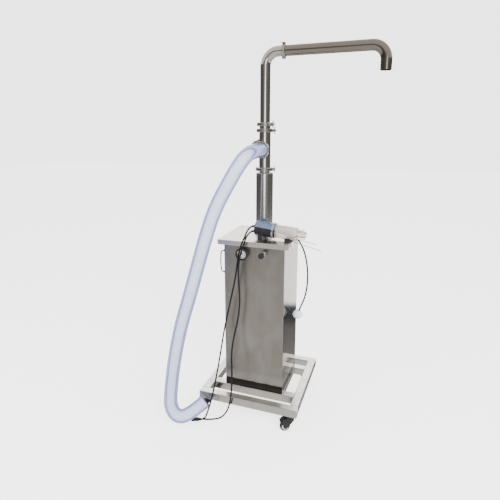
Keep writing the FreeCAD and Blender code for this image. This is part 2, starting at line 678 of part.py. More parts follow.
# ---- clamps -------------------------------------------------------------------------
def clamp(ferrule_r, tube_r, rim_r, bolt_at, bolt_r, reach, hub_r):
    """Hinged two-piece clamp about local Z.

    The halves part at the local XZ plane.  The swing bolt stands on the +X side and runs
    along Y; the hinge pin is on the -X side.
    """
    lip = tube_r + 0.8
    groove = ferrule_r + JOINT_GAP
    half = FERRULE_T + JOINT_GAP
    ring = turned([(lip, -CLAMP_HALF), (rim_r - 2, -CLAMP_HALF), (rim_r, 2 - CLAMP_HALF),
                   (rim_r, CLAMP_HALF - 2), (rim_r - 2, CLAMP_HALF), (lip, CLAMP_HALF),
                   (lip, half), (groove, half), (groove, -half), (lip, -half)])
    hinge_at = -max(rim_r + 1.0, groove + 4.2)
    lug_in = groove + 1.5
    lug_out = bolt_at + bolt_r + 1.5
    hinge = rod(4.0, Vec(hinge_at, 0, -CLAMP_HALF), Vec(hinge_at, 0, CLAMP_HALF))
    solids = []
    for side in (-1, 1):
        near, far = sorted((side * 0.5, side * 90.0))
        half_ring = ring.common(box(-90, 90, near, far, -10, 10))
        inner, outer = sorted((side * 0.5, side * 8.0))
        lug = box(lug_in, lug_out, inner, outer, -CLAMP_HALF + 1, CLAMP_HALF - 1)
        half_ring = half_ring.fuse(lug).cut(hinge)
        slot = rod(bolt_r, Vec(bolt_at, -10, 0), Vec(bolt_at, 10, 0))
        solids.append(half_ring.cut(slot))
    solids.append(hinge)
    bolt = rod(bolt_r, Vec(bolt_at, -8, 0), Vec(bolt_at, reach, 0))
    head = rod(bolt_r + 2, Vec(bolt_at, -12, 0), Vec(bolt_at, -8, 0))
    nut = rod(hub_r, Vec(bolt_at, 8, 0), Vec(bolt_at, 18, 0))
    wing = box(bolt_at - 1.5, bolt_at + 1.5, 12, 24, -hub_r - 12, hub_r + 12)
    wing = wing.cut(box(bolt_at - 2, bolt_at + 2, 18, 25, -hub_r, hub_r))
    solids.append(bolt.fuse([head, nut, wing]).removeSplitter())
    return Part.makeCompound(solids)


def direction_in_xy(degrees):
    return Vec(math.cos(math.radians(degrees)), math.sin(math.radians(degrees)), 0)


def clamp_parts():
    rim = FERRULE_R + CLAMP_RIM
    bolt_at = rim + 6.5
    stack = {"clamp_barrel": (TEE_BOTTOM, TEE_R, 8.0), "clamp_tee": (SPOOL_BOTTOM, TEE_R, -12.0),
             "clamp_mast": (MAST_BOTTOM, BRANCH_R, -40.0)}
    parts = {name: placed(clamp(FERRULE_R, tube_r, rim, bolt_at, 3.5, 26.0, 6.5),
                          column(level), direction_in_xy(turn), Z)
             for name, (level, tube_r, turn) in stack.items()}
    lean = math.radians(118)
    lug = Vec(math.cos(lean), 0, math.sin(lean))
    parts["clamp_branch"] = placed(clamp(FERRULE_R, BRANCH_R, rim, bolt_at, 3.5, 52.0, 6.5),
                                   Vec(COL_X, BRANCH_FACE_Y, BRANCH_Z), lug, Vec(0, -1, 0))
    arm_rim = ARM_FERRULE_R + 1.5
    bolt_r = 2.0
    bolt_at = ARM_CLAMP_RISE - bolt_r - 2.0
    parts["clamp_arm"] = placed(
        clamp(ARM_FERRULE_R, TUBE_R, arm_rim, bolt_at, bolt_r, 22.0, bolt_at - arm_rim),
        Vec(ARM_CLAMP_X, COL_Y, ARM_Z), Z, X)
    return parts


def pump_parts():
    parts = {
        "air_cylinder": air_cylinder(),
        "tie_rods": tie_rods(),
        "piston_rod": piston_rod(),
        "piston": piston(),
        "piston_seals": piston_seals(),
        "barrel": barrel(),
        "tee": tee(),
        "hose_adapter": hose_adapter(),
        "check_spool": check_spool(),
        "mast": mast(),
        "arm": arm(),
    }
    inlet = wing_guided_poppet(SEAT_R + 3, BRANCH_BORE - 0.1, 20.0)
    parts["inlet_poppet"] = placed(inlet, Vec(COL_X, ADAPTER_SEAT_Y + JOINT_GAP, BRANCH_Z), X, Y)
    outlet = wing_guided_poppet(SEAT_R + 3, TUBE_BORE - 0.1, 13.0)
    outlet.translate(column(SPOOL_BOTTOM + SPOOL_SEAT_T + JOINT_GAP))
    parts["outlet_poppet"] = outlet
    parts.update(clamp_parts())
    return parts


# ---- level sensor lying on the lid --------------------------------------------------
def sensor_frame(shape):
    tilt = math.radians(SENSOR_TILT)
    along = Vec(math.cos(tilt), 0, -math.sin(tilt))
    return placed(shape, SENSOR_START, along, along.cross(Y))


def bar_x(radius, start, end):
    """Round bar along local X."""
    return rod(radius, Vec(start, 0, 0), Vec(end, 0, 0))


def sensor_body():
    """Dark lower half of the sensor case and its clamping ring."""
    split = box(-1, SENSOR_BODY_L + 1, -60, 60, SENSOR_SPLIT, 60)
    ring_at = SENSOR_BODY_L - 16
    case = bar_x(SENSOR_R, 0, ring_at).fuse(bar_x(SENSOR_R, ring_at + 8, SENSOR_BODY_L))
    core = bar_x(SENSOR_R - 4, 1, SENSOR_BODY_L - 1)
    ring = bar_x(SENSOR_R + 2, ring_at, ring_at + 8).cut(bar_x(SENSOR_R - 4, ring_at, ring_at + 8))
    lower = case.fuse(core).cut(split)
    for y, z in SENSOR_GLANDS:
        lower = lower.fuse(rod(7, Vec(-8, y, z), Vec(5, y, z)))
    return Part.makeCompound([sensor_frame(solid) for solid in (lower.removeSplitter(), ring)])


def sensor_cover():
    """Blue top of the case: a hollow shell closed by the lower half."""
    keep = box(-1, SENSOR_BODY_L + 1, -60, 60, SENSOR_SPLIT, 60)
    ring_at = SENSOR_BODY_L - 16
    shell = bar_x(SENSOR_R, 0, ring_at).fuse(bar_x(SENSOR_R, ring_at + 8, SENSOR_BODY_L))
    shell = shell.fuse(bar_x(SENSOR_R - 4, ring_at, ring_at + 8))
    shell = shell.common(keep).cut(bar_x(SENSOR_R - 7, 3, SENSOR_BODY_L - 3))
    for y, z in SENSOR_GLANDS:
        shell = shell.cut(rod(7, Vec(-8, y, z), Vec(5, y, z)))
    return sensor_frame(shell)


def sensor_guard():
    """Clear sleeve over the probe and the clear nose."""
    start = SENSOR_BODY_L
    end = start + SENSOR_GUARD_L
    sleeve = bar_x(SENSOR_R - 4, start, end).cut(bar_x(SENSOR_R - 7, start, end - 3))
    nose = bar_x(20, end, end + SENSOR_NOSE_L)
    edge = [e for e in nose.Edges if abs(e.BoundBox.XMin - end - SENSOR_NOSE_L) < 0.1]
    nose = nose.makeFillet(8.0, edge[:1])
    return Part.makeCompound([sensor_frame(sleeve), sensor_frame(nose)])


ROD_BLOCK = (138.0, 164.0, -104.0, -26.0)
PROBE_R = 1.6
PROBE_Z = (LID_TOP + 3.0, LID_TOP + 6.0)    # held end and free end
PROBES = (((150.0, -33.0), (294.0, -129.0)), ((150.0, -78.0), (332.0, -228.0)))


def sensor_cradle():
    """Two saddle feet under the sensor; the right one also holds the probe rods."""
    x0, x1, y0, y1 = ROD_BLOCK
    case = sensor_frame(bar_x(SENSOR_R, -20, SENSOR_BODY_L))
    guard = sensor_frame(bar_x(SENSOR_R - 4, SENSOR_BODY_L, 300))
    left = box(8, 30, -104, -56, LID_TOP, LID_TOP + 30).cut(case)
    right = box(x0, x1, y0, y1, LID_TOP, LID_TOP + 14).cut(guard)
    for start, end in probe_lines():
        right = right.cut(rod(PROBE_R, start, end))
    gland = rod(6.0, Vec(x1 - 12, -50, LID_TOP + 11), Vec(x1, -50, LID_TOP + 11))
    return Part.makeCompound([left, right.fuse(gland).removeSplitter()])


def probe_lines():
    held, free = PROBE_Z
    return [(Vec(a[0], a[1], held), Vec(b[0], b[1], free)) for a, b in PROBES]


def probe_rods():
    return Part.makeCompound([rod(PROBE_R, start, end) for start, end in probe_lines()])


def float_ball():
    """Moulded float with a weld girdle and a cable neck."""
    ball = Part.makeSphere(FLOAT_R - 1.5, FLOAT_AT)
    girdle = disc(FLOAT_R, FLOAT_AT.x, FLOAT_AT.y, FLOAT_AT.z - 2, FLOAT_AT.z + 2)
    out = Vec(FLOAT_NECK).normalize()
    neck = rod(6, FLOAT_AT.add(Vec(out).multiply(15)), FLOAT_AT.add(Vec(out).multiply(FLOAT_R)))
    return ball.fuse([girdle, neck])


def cable_plug():
    """Moulded plug that both sensor leads end in, lying on the floor."""
    heading = Vec(-0.94, -0.34, 0)
    yoke = round_edges(box(0, 12, -10, 10, -6, 7), 4.0, X)
    body = yoke.fuse([bar_x(8.5, 8, 22), bar_x(9.5, 22, 36)]).removeSplitter()
    return placed(body, PLUG_AT, heading.normalize(), Z)


def sensor_parts():
    return {
        "sensor_body": sensor_body(),
        "sensor_cover": sensor_cover(),
        "sensor_guard": sensor_guard(),
        "sensor_cradle": sensor_cradle(),
        "probe_rods": probe_rods(),
        "float_ball": float_ball(),
        "cable_plug": cable_plug(),
    }


def cord_parts():
    return {
        "hose": tube_along(HOSE_ROUTE, HOSE_R, HOSE_BORE, "hose"),
        "cable_a": swept(CABLE_A_ROUTE, CABLE_R, "cable_a"),
        "cable_b": swept(CABLE_B_ROUTE, CABLE_R, "cable_b"),
        "cable_float": swept(FLOAT_CABLE_ROUTE, CABLE_R, "cable_float"),
    }


# ---- export -------------------------------------------------------------------------
os.makedirs("parts", exist_ok=True)
all_parts = {}
for group in (frame_parts, caster_parts, cabinet_parts, instrument_parts, pump_parts,
              sensor_parts, cord_parts):
    all_parts.update(group())
for name, shape in all_parts.items():
    if not shape.isValid() or not shape.Solids:
        raise RuntimeError("%s is not a valid solid" % name)
    shape.exportStep("parts/%s.step" % name)
box_all = Part.makeCompound(list(all_parts.values())).BoundBox
print(len(all_parts), "nodes, box", box_all)
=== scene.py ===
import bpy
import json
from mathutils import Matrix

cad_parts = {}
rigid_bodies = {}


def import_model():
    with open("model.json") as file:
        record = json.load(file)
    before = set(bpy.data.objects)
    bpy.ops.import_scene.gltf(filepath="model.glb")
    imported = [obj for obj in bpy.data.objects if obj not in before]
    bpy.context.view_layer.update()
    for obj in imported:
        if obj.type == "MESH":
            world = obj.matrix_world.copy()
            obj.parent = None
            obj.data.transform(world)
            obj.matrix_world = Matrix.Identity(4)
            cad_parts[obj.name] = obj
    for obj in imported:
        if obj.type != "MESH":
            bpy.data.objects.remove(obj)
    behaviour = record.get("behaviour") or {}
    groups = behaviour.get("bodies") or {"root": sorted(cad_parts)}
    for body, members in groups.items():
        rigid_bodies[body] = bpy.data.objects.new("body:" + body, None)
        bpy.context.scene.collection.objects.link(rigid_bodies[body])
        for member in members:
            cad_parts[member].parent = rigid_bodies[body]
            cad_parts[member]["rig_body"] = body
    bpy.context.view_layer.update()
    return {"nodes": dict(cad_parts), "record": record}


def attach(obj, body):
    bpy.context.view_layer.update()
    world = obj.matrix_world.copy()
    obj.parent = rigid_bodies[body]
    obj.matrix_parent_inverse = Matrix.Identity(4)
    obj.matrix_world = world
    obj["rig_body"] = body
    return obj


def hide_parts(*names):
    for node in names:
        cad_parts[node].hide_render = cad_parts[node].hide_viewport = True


bl_info = {
    "name": "Piston Liquid Filler",
    "version": (1, 0, 0),
    "blender": (4, 5, 0),
    "location": "3D View > Sidebar > Filler",
    "description": "Dresses the fixed frame of an upright piston filler with its finished pieces",
    "category": "Object",
}

import json
import math

import bmesh
import bpy
from bpy.props import FloatProperty, FloatVectorProperty, IntProperty, PointerProperty
from mathutils import Matrix, Vector

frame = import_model()

MM = 0.001
WIDEST = 1.0                # bevel width past any piece, so the clamp on overlap sets each rounding
UP = Vector((0, 0, 1))
BACK = Vector((0, 1, 0))
RIGHT = Vector((1, 0, 0))
FRONT = Vector((0, -1, 0))

# Places and sizes that repeat the frame's, in millimetres.
COLUMN_X = 8
BRANCH_Y, BRANCH_Z = -58, 1310
CLAMP_LEVELS = {"clamp_barrel": (1217, 8), "clamp_tee": (1398, -12), "clamp_mast": (1426, -40)}
ARM_CLAMP_AT = (94, 0, 1744)
GAUGE_AT = (-53, -140, 829)
SENSOR_AT = (-7, -80, 946)
SENSOR_TILT = 5.7
RAIL_INSIDE = 210
CROSS_RAIL_FACES = (-148, -108, 114, 154)
BEAD_FOOT = 80.5
FRAME_TOP = 118
CABINET_SIDE = 150.8
WHEEL_R, TRAIL = 25, 24
CASTERS = {"fr": (215, -230, 212), "fl": (-215, -230, 165), "rr": (215, 230, 205),
           "rl": (-215, 230, 196)}      # stem x and y, and the trail's direction in degrees

# Routes of the free cords, the same points as the frame's, in millimetres.
HOSE_ROUTE = [
    (8, -66.5, 1310), (8, -138, 1310), (-11, -206, 1294), (-43, -240, 1238), (-82, -262, 1160),
    (-132, -278, 1062), (-172, -292, 940), (-207, -308, 808), (-244, -326, 664), (-290, -346, 500),
    (-320, -362, 340), (-338, -374, 192), (-342, -384, 86), (-296, -376, 34), (-236, -330, 64),
    (-200, -294, 96),
]
CABLE_A_ROUTE = [
    (-14, -86, 953), (-30, -91, 950.5), (-37, -112, 940), (-38, -138, 927), (-36, -163, 915),
    (-38, -185, 899), (-48, -188, 871), (-58, -186, 836), (-65, -184, 796), (-71, -185, 748),
    (-81, -184, 690), (-96, -186, 622), (-112, -190, 545), (-129, -196, 462), (-135, -218, 386),
    (-138, -246, 312), (-146, -266, 236), (-155, -278, 172), (-162, -294, 122), (-169, -310, 84),
    (-178, -320, 48), (-191, -323, 19), (-220, -326, 10),
]
CABLE_B_ROUTE = [
    (-17, -78, 927), (-31, -85, 924.5), (-36, -106, 918), (-36, -132, 912), (-33, -160, 906),
    (-29, -185, 892), (-38, -192, 864), (-49, -193, 828), (-56, -191, 790), (-60, -187, 745),
    (-60, -184, 698), (-54, -184, 640), (-55, -186, 570), (-65, -190, 490), (-79, -208, 415),
    (-83, -228, 340), (-74, -246, 270), (-68, -262, 205), (-70, -268, 150), (-78, -268, 96),
    (-92, -268, 50), (-118, -278, 14), (-152, -290, 5), (-182, -302, 5), (-204, -311, 7),
    (-223, -318, 10),
]
FLOAT_CABLE_ROUTE = [
    (164, -50, 904), (180, -50, 905), (195, -51, 893), (208, -53, 873), (223, -56, 846),
    (234, -58, 812), (242, -58, 768), (245, -53, 715), (241, -46, 655), (229, -36, 597),
    (211, -25, 553), (199.6, -18.7, 522.2),
]


# ---- sizes and colours a user would change ------------------------------------------
def length(name, description, default):
    return FloatProperty(name=name, description=description, default=default, min=0,
                         unit="LENGTH", precision=5)


def colour(name, description, default):
    return FloatVectorProperty(name=name, description=description, default=default,
                               subtype="COLOR", size=3, min=0, max=1)


class FillerSizes(bpy.types.PropertyGroup):
    weld_bead: length("Weld bead", "Radius of the weld beads on the base frame", 0.0022)
    hose_diameter: length("Hose diameter", "Outside diameter of the suction hose", 0.065)
    hose_bore: length("Hose bore", "Inside diameter of the suction hose", 0.051)
    cable_diameter: length("Cable diameter", "Outside diameter of the sensor cables", 0.008)
    # The plinth is a painted dark reflection band at the foot of the cabinet, not a separate part.
    painted_reflection_band: length("Painted reflection band", "Height of the dark band round the foot of the cabinet", 0.036)
    round_sides: IntProperty(name="Round sides", description="Facets round a turned piece",
                             default=64, min=24, max=128)


class FillerColours(bpy.types.PropertyGroup):
    panel: colour("Panel", "Brushed cabinet sheet", (0.375, 0.355, 0.325))
    lid: colour("Lid", "Satin lid sheet", (0.80, 0.775, 0.76))
    tube: colour("Tube", "Polished sanitary tube", (0.60, 0.58, 0.56))
    rail: colour("Rail", "Satin square tube", (0.66, 0.645, 0.62))
    # Colour of the painted dark reflection band at the foot of the cabinet.
    painted_reflection_band: colour("Painted reflection band", "Dark band at the foot of the cabinet", (0.035, 0.030, 0.026))
    hose: colour("Hose", "Milky hose plastic", (0.68, 0.735, 0.96))
    # The side tone is painted shade toward the hose's edges, which leaves a painted highlight down
    # the middle; it also colours the darker lines.
    hose_painted_shade: colour("Hose side", "Deeper tone where the hose wall turns away", (0.36, 0.42, 0.76))
    jacket: colour("Jacket", "Cable jacket", (0.012, 0.012, 0.014))
    # The cover's blue is a painted reflection of blue sky on the top of the glossy black sensor.
    cover: colour("Cover", "Metallic blue sensor cover", (0.15, 0.20, 0.32))
    shell: colour("Shell", "Black moulded plastic", (0.014, 0.014, 0.017))
    clear: colour("Clear", "Clear sensor guard", (0.96, 0.90, 0.88))
    float_white: colour("Float", "White float", (0.85, 0.87, 0.93))


class FillerStage(bpy.types.PropertyGroup):
    eye: FloatVectorProperty(name="Eye", description="Camera place", default=(0.608, -1.918, 1.380),
                             subtype="TRANSLATION", size=3)
    pitch: FloatProperty(name="Pitch", description="How far the camera looks down",
                         default=0.227, subtype="ANGLE")
    yaw: FloatProperty(name="Yaw", description="How far the camera turns to the left",
                       default=0.3384, subtype="ANGLE")
    lens: FloatProperty(name="Lens", description="Focal length in millimetres", default=29.8)
    shift: FloatProperty(name="Shift", description="Vertical lens shift", default=-0.04)


def sizes():
    return bpy.context.scene.filler_sizes


def colours():
    return bpy.context.scene.filler_colours


# ---- bench: modelling helpers -------------------------------------------------------
def lay_down_tools():
    """Object mode with nothing selected."""
    if bpy.context.mode != "OBJECT":
        bpy.ops.object.mode_set(mode="OBJECT")
    bpy.ops.object.select_all(action="DESELECT")


def take(piece):
    """Make one piece the selected and active one."""
    lay_down_tools()
    piece.select_set(True)
    bpy.context.view_layer.objects.active = piece


def open_up(piece, wanted=None, kind="FACE"):
    """Edit mode with only the elements that pass the test selected, or all of them."""
    take(piece)
    bpy.ops.object.mode_set(mode="EDIT")
    bpy.ops.mesh.select_mode(type=kind)
    if wanted is None:
        bpy.ops.mesh.select_all(action="SELECT")
        return
    bpy.ops.mesh.select_all(action="DESELECT")
    work = bmesh.from_edit_mesh(piece.data)
    work.normal_update()
    elements = {"FACE": work.faces, "EDGE": work.edges, "VERT": work.verts}[kind]
    for element in elements:
        if wanted(element):
            element.select = True
    work.select_flush_mode()
    bmesh.update_edit_mesh(piece.data)


def close_up():
    bpy.ops.object.mode_set(mode="OBJECT")


def modify(piece, kind, **settings):
    """Add one modifier and apply it."""
    take(piece)
    modifier = piece.modifiers.new(kind.title(), kind)
    for name, value in settings.items():
        setattr(modifier, name, value)
    bpy.ops.object.modifier_apply(modifier=modifier.name)


def settle(piece):
    """Put the piece's place into its mesh."""
    take(piece)
    bpy.ops.object.transform_apply(location=True, rotation=True, scale=True)


def placed(name, data):
    """A new object in the scene."""
    made = bpy.data.objects.new(name, data)
    bpy.context.scene.collection.objects.link(made)
    return made


def aimed(at, along):
    """Matrix that stands local +Z along a direction at a place in millimetres."""
    lean = UP.rotation_difference(Vector(along).normalized()).to_matrix().to_4x4()
    return Matrix.Translation(Vector(at) * MM) @ lean


def seated(at, x_dir, z_dir):
    """Matrix from a local frame, given its X and Z directions and its place in millimetres."""
    x_dir, z_dir = Vector(x_dir).normalized(), Vector(z_dir).normalized()
    turn = Matrix((x_dir, z_dir.cross(x_dir), z_dir)).transposed()
    return Matrix.Translation(Vector(at) * MM) @ turn.to_4x4()


def stand(piece, matrix):
    piece.matrix_world = matrix @ piece.matrix_world
    settle(piece)


def soften(piece, rounded=True, segments=2, angle=32):
    """Round the sharp edges as far as the mesh has room and shade the rest smooth."""
    if rounded:
        modify(piece, "BEVEL", width=WIDEST, segments=segments, limit_method="ANGLE",
               angle_limit=math.radians(angle), miter_outer="MITER_ARC")
    take(piece)
    bpy.ops.object.shade_smooth_by_angle(angle=math.radians(angle + 4))
    modify(piece, "WEIGHTED_NORMAL", keep_sharp=True, weight=80)


def normals_out(piece):
    open_up(piece)
    bpy.ops.mesh.remove_doubles(threshold=1e-6)
    bpy.ops.mesh.normals_make_consistent(inside=False)
    close_up()


def both_ways(half):
    """An outline and its mirror image across the middle of the axis."""
    return half + [(-reach, radius) for reach, radius in reversed(half)]


def turned(name, outline, at=(0, 0, 0), along=UP, rounded=False, sides=None, hollow=False):
    """Turn a piece on the lathe, in millimetres.

    The outline lists (distance along the axis, radius), and a hollow one is closed to a ring.
    """
    lay_down_tools()
    if hollow:
        outline = outline + outline[:1]
    reach, radius = outline[0]
    bpy.ops.mesh.primitive_circle_add(vertices=sides or sizes().round_sides,
                                      radius=radius * MM, location=(0, 0, reach * MM),
                                      fill_type="NOTHING" if hollow else "NGON")
    piece = bpy.context.object
    piece.name = name
    settle(piece)
    open_up(piece, kind="EDGE" if hollow else "FACE")
    for (last_reach, last_radius), (reach, radius) in zip(outline, outline[1:]):
        bpy.ops.mesh.extrude_region_move(
            TRANSFORM_OT_translate={"value": (0, 0, (reach - last_reach) * MM)})
        ratio = radius / last_radius
        bpy.ops.transform.resize(value=(ratio, ratio, 1), center_override=(0, 0, reach * MM))
    close_up()
    normals_out(piece)
    stand(piece, aimed(at, along))
    soften(piece, rounded)
    return piece


def block(name, low, high, rounded=True, segments=3):
    """A rectangular bar between two corners, in millimetres."""
    lay_down_tools()
    low, high = Vector(low) * MM, Vector(high) * MM
    bpy.ops.mesh.primitive_cube_add(size=1, location=(low + high) / 2)
    piece = bpy.context.object
    piece.name = name
    piece.scale = high - low
    settle(piece)
    soften(piece, rounded, segments)
    return piece


def joined(name, pieces):
    """Join several pieces of one material into one."""
    take(pieces[0])
    for piece in pieces:
        piece.select_set(True)
    bpy.ops.object.join()
    whole = bpy.context.object
    whole.name = name
    return whole


def copied(piece, name, matrix):
    """A copy with its own mesh, moved by a matrix."""
    twin = placed(name, piece.data.copy())
    twin.matrix_world = matrix
    settle(twin)
    return twin


def carried(piece, body, finish, slot, *stands_for):
    """Give a piece its finish, its body and the frame parts that it stands for."""
    piece.data.materials.clear()
    piece.data.materials.append(finish)
    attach(piece, body)
    if stands_for:
        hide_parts(*stands_for)
    return piece


def body_of(node):
    return frame["nodes"][node]["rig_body"]


def slot_of(node):
    for entry in frame["record"]["subparts"]:
        if entry["node"] == node:
            return entry["material_slot"]
    raise RuntimeError("no slot for " + node)


def dressed(node, finish, angle=32, rounded=True):
    """A welded copy of a frame part with rounded edges, which stands for it."""
    piece = placed(node + "_skin", frame["nodes"][node].data.copy())
    open_up(piece)
    bpy.ops.mesh.remove_doubles(threshold=2e-6)
    bpy.ops.mesh.dissolve_limited(angle_limit=math.radians(0.6))
    close_up()
    soften(piece, rounded, angle=angle)
    return carried(piece, body_of(node), finish, slot_of(node), node)


def painted(node, finish):
    """Keep a frame part and give it its finish."""
    part = frame["nodes"][node]
    for slot in part.material_slots:
        slot.material = finish
    if not part.material_slots:
        raise RuntimeError(node + " has no material slot")


# ---- paint shop: shared shader groups -----------------------------------------------
class Board:
    """A node tree with short ways to add and wire nodes."""

    def __init__(self, tree):
        self.tree = tree

    def node(self, kind, **settings):
        made = self.tree.nodes.new("ShaderNode" + kind)
        for name, value in settings.items():
            setattr(made, name, value)
        return made

    def feed(self, socket, source):
        """Wire a socket to a source, or set it to a constant."""
        if isinstance(source, bpy.types.NodeSocket):
            self.tree.links.new(source, socket)
        else:
            socket.default_value = source

    def fill(self, made, sources):
        """Feed several sockets of a node, by name or number."""
        for socket, source in sources.items():
            self.feed(made.inputs[socket], source)
        return made.outputs

    def maths(self, operation, a, b=0.0, clamp=False):
        made = self.node("Math", operation=operation, use_clamp=clamp)
        return self.fill(made, {0: a, 1: b})[0]

    def vector(self, operation, a, b):
        outputs = self.fill(self.node("VectorMath", operation=operation), {0: a, 1: b})
        return outputs["Value"] if operation == "DOT_PRODUCT" else outputs[0]

    def noise(self, place, scale, detail=2.0, roughness=0.5, distortion=0.0):
        return self.fill(self.node("TexNoise"), {
            "Vector": place, "Scale": scale, "Detail": detail, "Roughness": roughness,
            "Distortion": distortion})["Fac"]

    def ramp(self, value, low, high, to_low=0.0, to_high=1.0):
        return self.fill(self.node("MapRange", clamp=True), {
            "Value": value, "From Min": low, "From Max": high, "To Min": to_low,
            "To Max": to_high})["Result"]

    def mix(self, amount, a, b):
        return self.fill(self.node("Mix", data_type="RGBA"), {0: amount, 6: a, 7: b})[2]


def shader_group(name, inputs, outputs):
    """An empty node group with named sockets."""
    kinds = {"value": "NodeSocketFloat", "colour": "NodeSocketColor", "vector": "NodeSocketVector"}
    tree = bpy.data.node_groups.new(name, "ShaderNodeTree")
    for socket_name, kind, default in inputs:
        socket = tree.interface.new_socket(name=socket_name, in_out="INPUT",
                                           socket_type=kinds[kind])
        if default is not None:
            socket.default_value = default
    for socket_name, kind in outputs:
        tree.interface.new_socket(name=socket_name, in_out="OUTPUT", socket_type=kinds[kind])
    return Board(tree), tree.nodes.new("NodeGroupInput"), tree.nodes.new("NodeGroupOutput")


def once(name, build):
    """Build a group or material the first time it is asked for."""
    store = bpy.data.node_groups if name.startswith("Shop ") else bpy.data.materials
    return store.get(name) or build()


def satin_steel_group():
    """Brushed grain, handling marks, edge polish and floor dust for stainless sheet and tube."""
    def build():
        board, inside, out = shader_group("Shop satin steel", [
            ("Place", "vector", None), ("Stretch", "vector", (40, 40, 900)),
            ("Light", "colour", (0.6, 0.6, 0.6, 1)), ("Shade", "colour", (0.4, 0.4, 0.4, 1)),
            ("Smooth", "value", 0.15), ("Rough", "value", 0.4), ("Marks", "value", 0.5),
            ("Dust Height", "value", 0.05)],
            [("Colour", "colour"), ("Roughness", "value"), ("Height", "value")])
        place = inside.outputs["Place"]
        drawn = board.vector("MULTIPLY", place, inside.outputs["Stretch"])
        grain = board.noise(drawn, 1.0, 3.0, 0.65)
        fine = board.noise(drawn, 3.1, 2.0, 0.6)
        streak = board.maths("ADD", board.maths("MULTIPLY", grain, 0.6),
                             board.maths("MULTIPLY", fine, 0.4))
        cloud = board.noise(place, 5.0, 3.0, 0.55, 0.6)
        smear = board.noise(board.vector("MULTIPLY", place, (9, 9, 2.2)), 1.0, 4.0, 0.6, 1.2)
        marks = board.maths("MULTIPLY", board.ramp(smear, 0.48, 0.68), inside.outputs["Marks"])
        tone = board.maths("ADD", board.ramp(streak, 0.3, 0.7, 0.0, 0.55),
                           board.ramp(cloud, 0.3, 0.7, 0.0, 0.45))
        edges = board.ramp(board.node("NewGeometry").outputs["Pointiness"], 0.52, 0.60)
        tone = board.maths("ADD", tone, board.maths("MULTIPLY", edges, 0.5), clamp=True)
        colour_out = board.mix(tone, inside.outputs["Shade"], inside.outputs["Light"])
        split = board.node("SeparateXYZ")
        board.feed(split.inputs[0], place)
        low = board.ramp(split.outputs["Z"], 0.0, inside.outputs["Dust Height"], 1.0, 0.0)
        dust = board.maths("MULTIPLY", low, board.ramp(cloud, 0.35, 0.65, 0.1, 0.6))
        colour_out = board.mix(dust, colour_out, (0.33, 0.29, 0.25, 1))
        rough = board.ramp(board.maths("ADD", streak, marks), 0.3, 1.0,
                           inside.outputs["Smooth"], inside.outputs["Rough"])
        rough = board.maths("ADD", rough, board.maths("MULTIPLY", dust, 0.4), clamp=True)
        board.fill(out, {"Colour": colour_out, "Roughness": rough, "Height": streak})
        return board.tree
    return once("Shop satin steel", build)


def moulding_group():
    """Fine moulded skin with scuffs, pale edge wear and dust for plastics and paint."""
    def build():
        board, inside, out = shader_group("Shop moulding", [
            ("Place", "vector", None), ("Colour", "colour", (0.1, 0.1, 0.1, 1)),
            ("Worn", "colour", (0.3, 0.3, 0.3, 1)), ("Wear", "value", 0.3),
            ("Skin Scale", "value", 900.0), ("Smooth", "value", 0.3), ("Rough", "value", 0.5)],
            [("Colour", "colour"), ("Roughness", "value"), ("Height", "value")])
        place = inside.outputs["Place"]
        skin = board.noise(place, inside.outputs["Skin Scale"], 2.0, 0.6)
        cloud = board.noise(place, 38.0, 3.0, 0.6)
        scuff = board.noise(board.vector("MULTIPLY", place, (160, 160, 30)), 1.0, 2.0, 0.7, 0.8)
        edges = board.ramp(board.node("NewGeometry").outputs["Pointiness"], 0.53, 0.62)
        worn = board.maths("MULTIPLY", inside.outputs["Wear"],
                           board.maths("ADD", board.maths("MULTIPLY", edges, cloud),
                                       board.ramp(scuff, 0.66, 0.74, 0.0, 0.35)), clamp=True)
        shade = board.mix(board.ramp(cloud, 0.3, 0.7, 0.0, 0.25), inside.outputs["Colour"],
                          inside.outputs["Worn"])
        rough = board.ramp(board.maths("ADD", cloud, worn), 0.3, 1.0,
                           inside.outputs["Smooth"], inside.outputs["Rough"])
        board.fill(out, {"Colour": board.mix(worn, shade, inside.outputs["Worn"]),
                         "Roughness": rough, "Height": skin})
        return board.tree
    return once("Shop moulding", build)


# ---- paint shop: finishes -----------------------------------------------------------
def fresh_finish(name):
    """A material with a Principled shader and the object's own coordinates."""
    finish = bpy.data.materials.new(name)
    finish.use_nodes = True
    board = Board(finish.node_tree)
    shader = finish.node_tree.nodes["Principled BSDF"]
    place = board.node("TexCoord").outputs["Object"]
    return finish, board, shader, place


def bumped(board, shader, height, strength, distance=0.0002):
    bump = board.fill(board.node("Bump"), {
        "Strength": strength, "Distance": distance, "Height": height})
    board.feed(shader.inputs["Normal"], bump["Normal"])


def laid_on(board, shader, place, tree, values, bump):
    """Place a shared group with its own values and lead what it puts out into the shader."""
    made = board.fill(board.node("Group", node_tree=tree), {"Place": place, **values})
    board.fill(shader, {"Base Color": made["Colour"], "Roughness": made["Roughness"]})
    bumped(board, shader, made["Height"], bump)


def reopened(finish):
    """Board, shader and present colour of a finish that gets more layers."""
    shader = finish.node_tree.nodes["Principled BSDF"]
    return Board(finish.node_tree), shader, shader.inputs["Base Color"].links[0].from_socket


def rgba(colour_value, level=1.0):
    return tuple(channel * level for channel in colour_value[:3]) + (1.0,)


def steel(name, tint, stretch, smooth, rough, marks=0.5, contrast=0.72, grain=0.10):
    """Stainless steel whose grain runs where the stretch is smallest."""
    def build():
        finish, board, shader, place = fresh_finish(name)
        shader.inputs["Metallic"].default_value = 1.0
        laid_on(board, shader, place, satin_steel_group(), {
            "Stretch": stretch, "Light": rgba(tint), "Shade": rgba(tint, contrast),
            "Smooth": smooth, "Rough": rough, "Marks": marks}, grain)
        return finish
    return once(name, build)


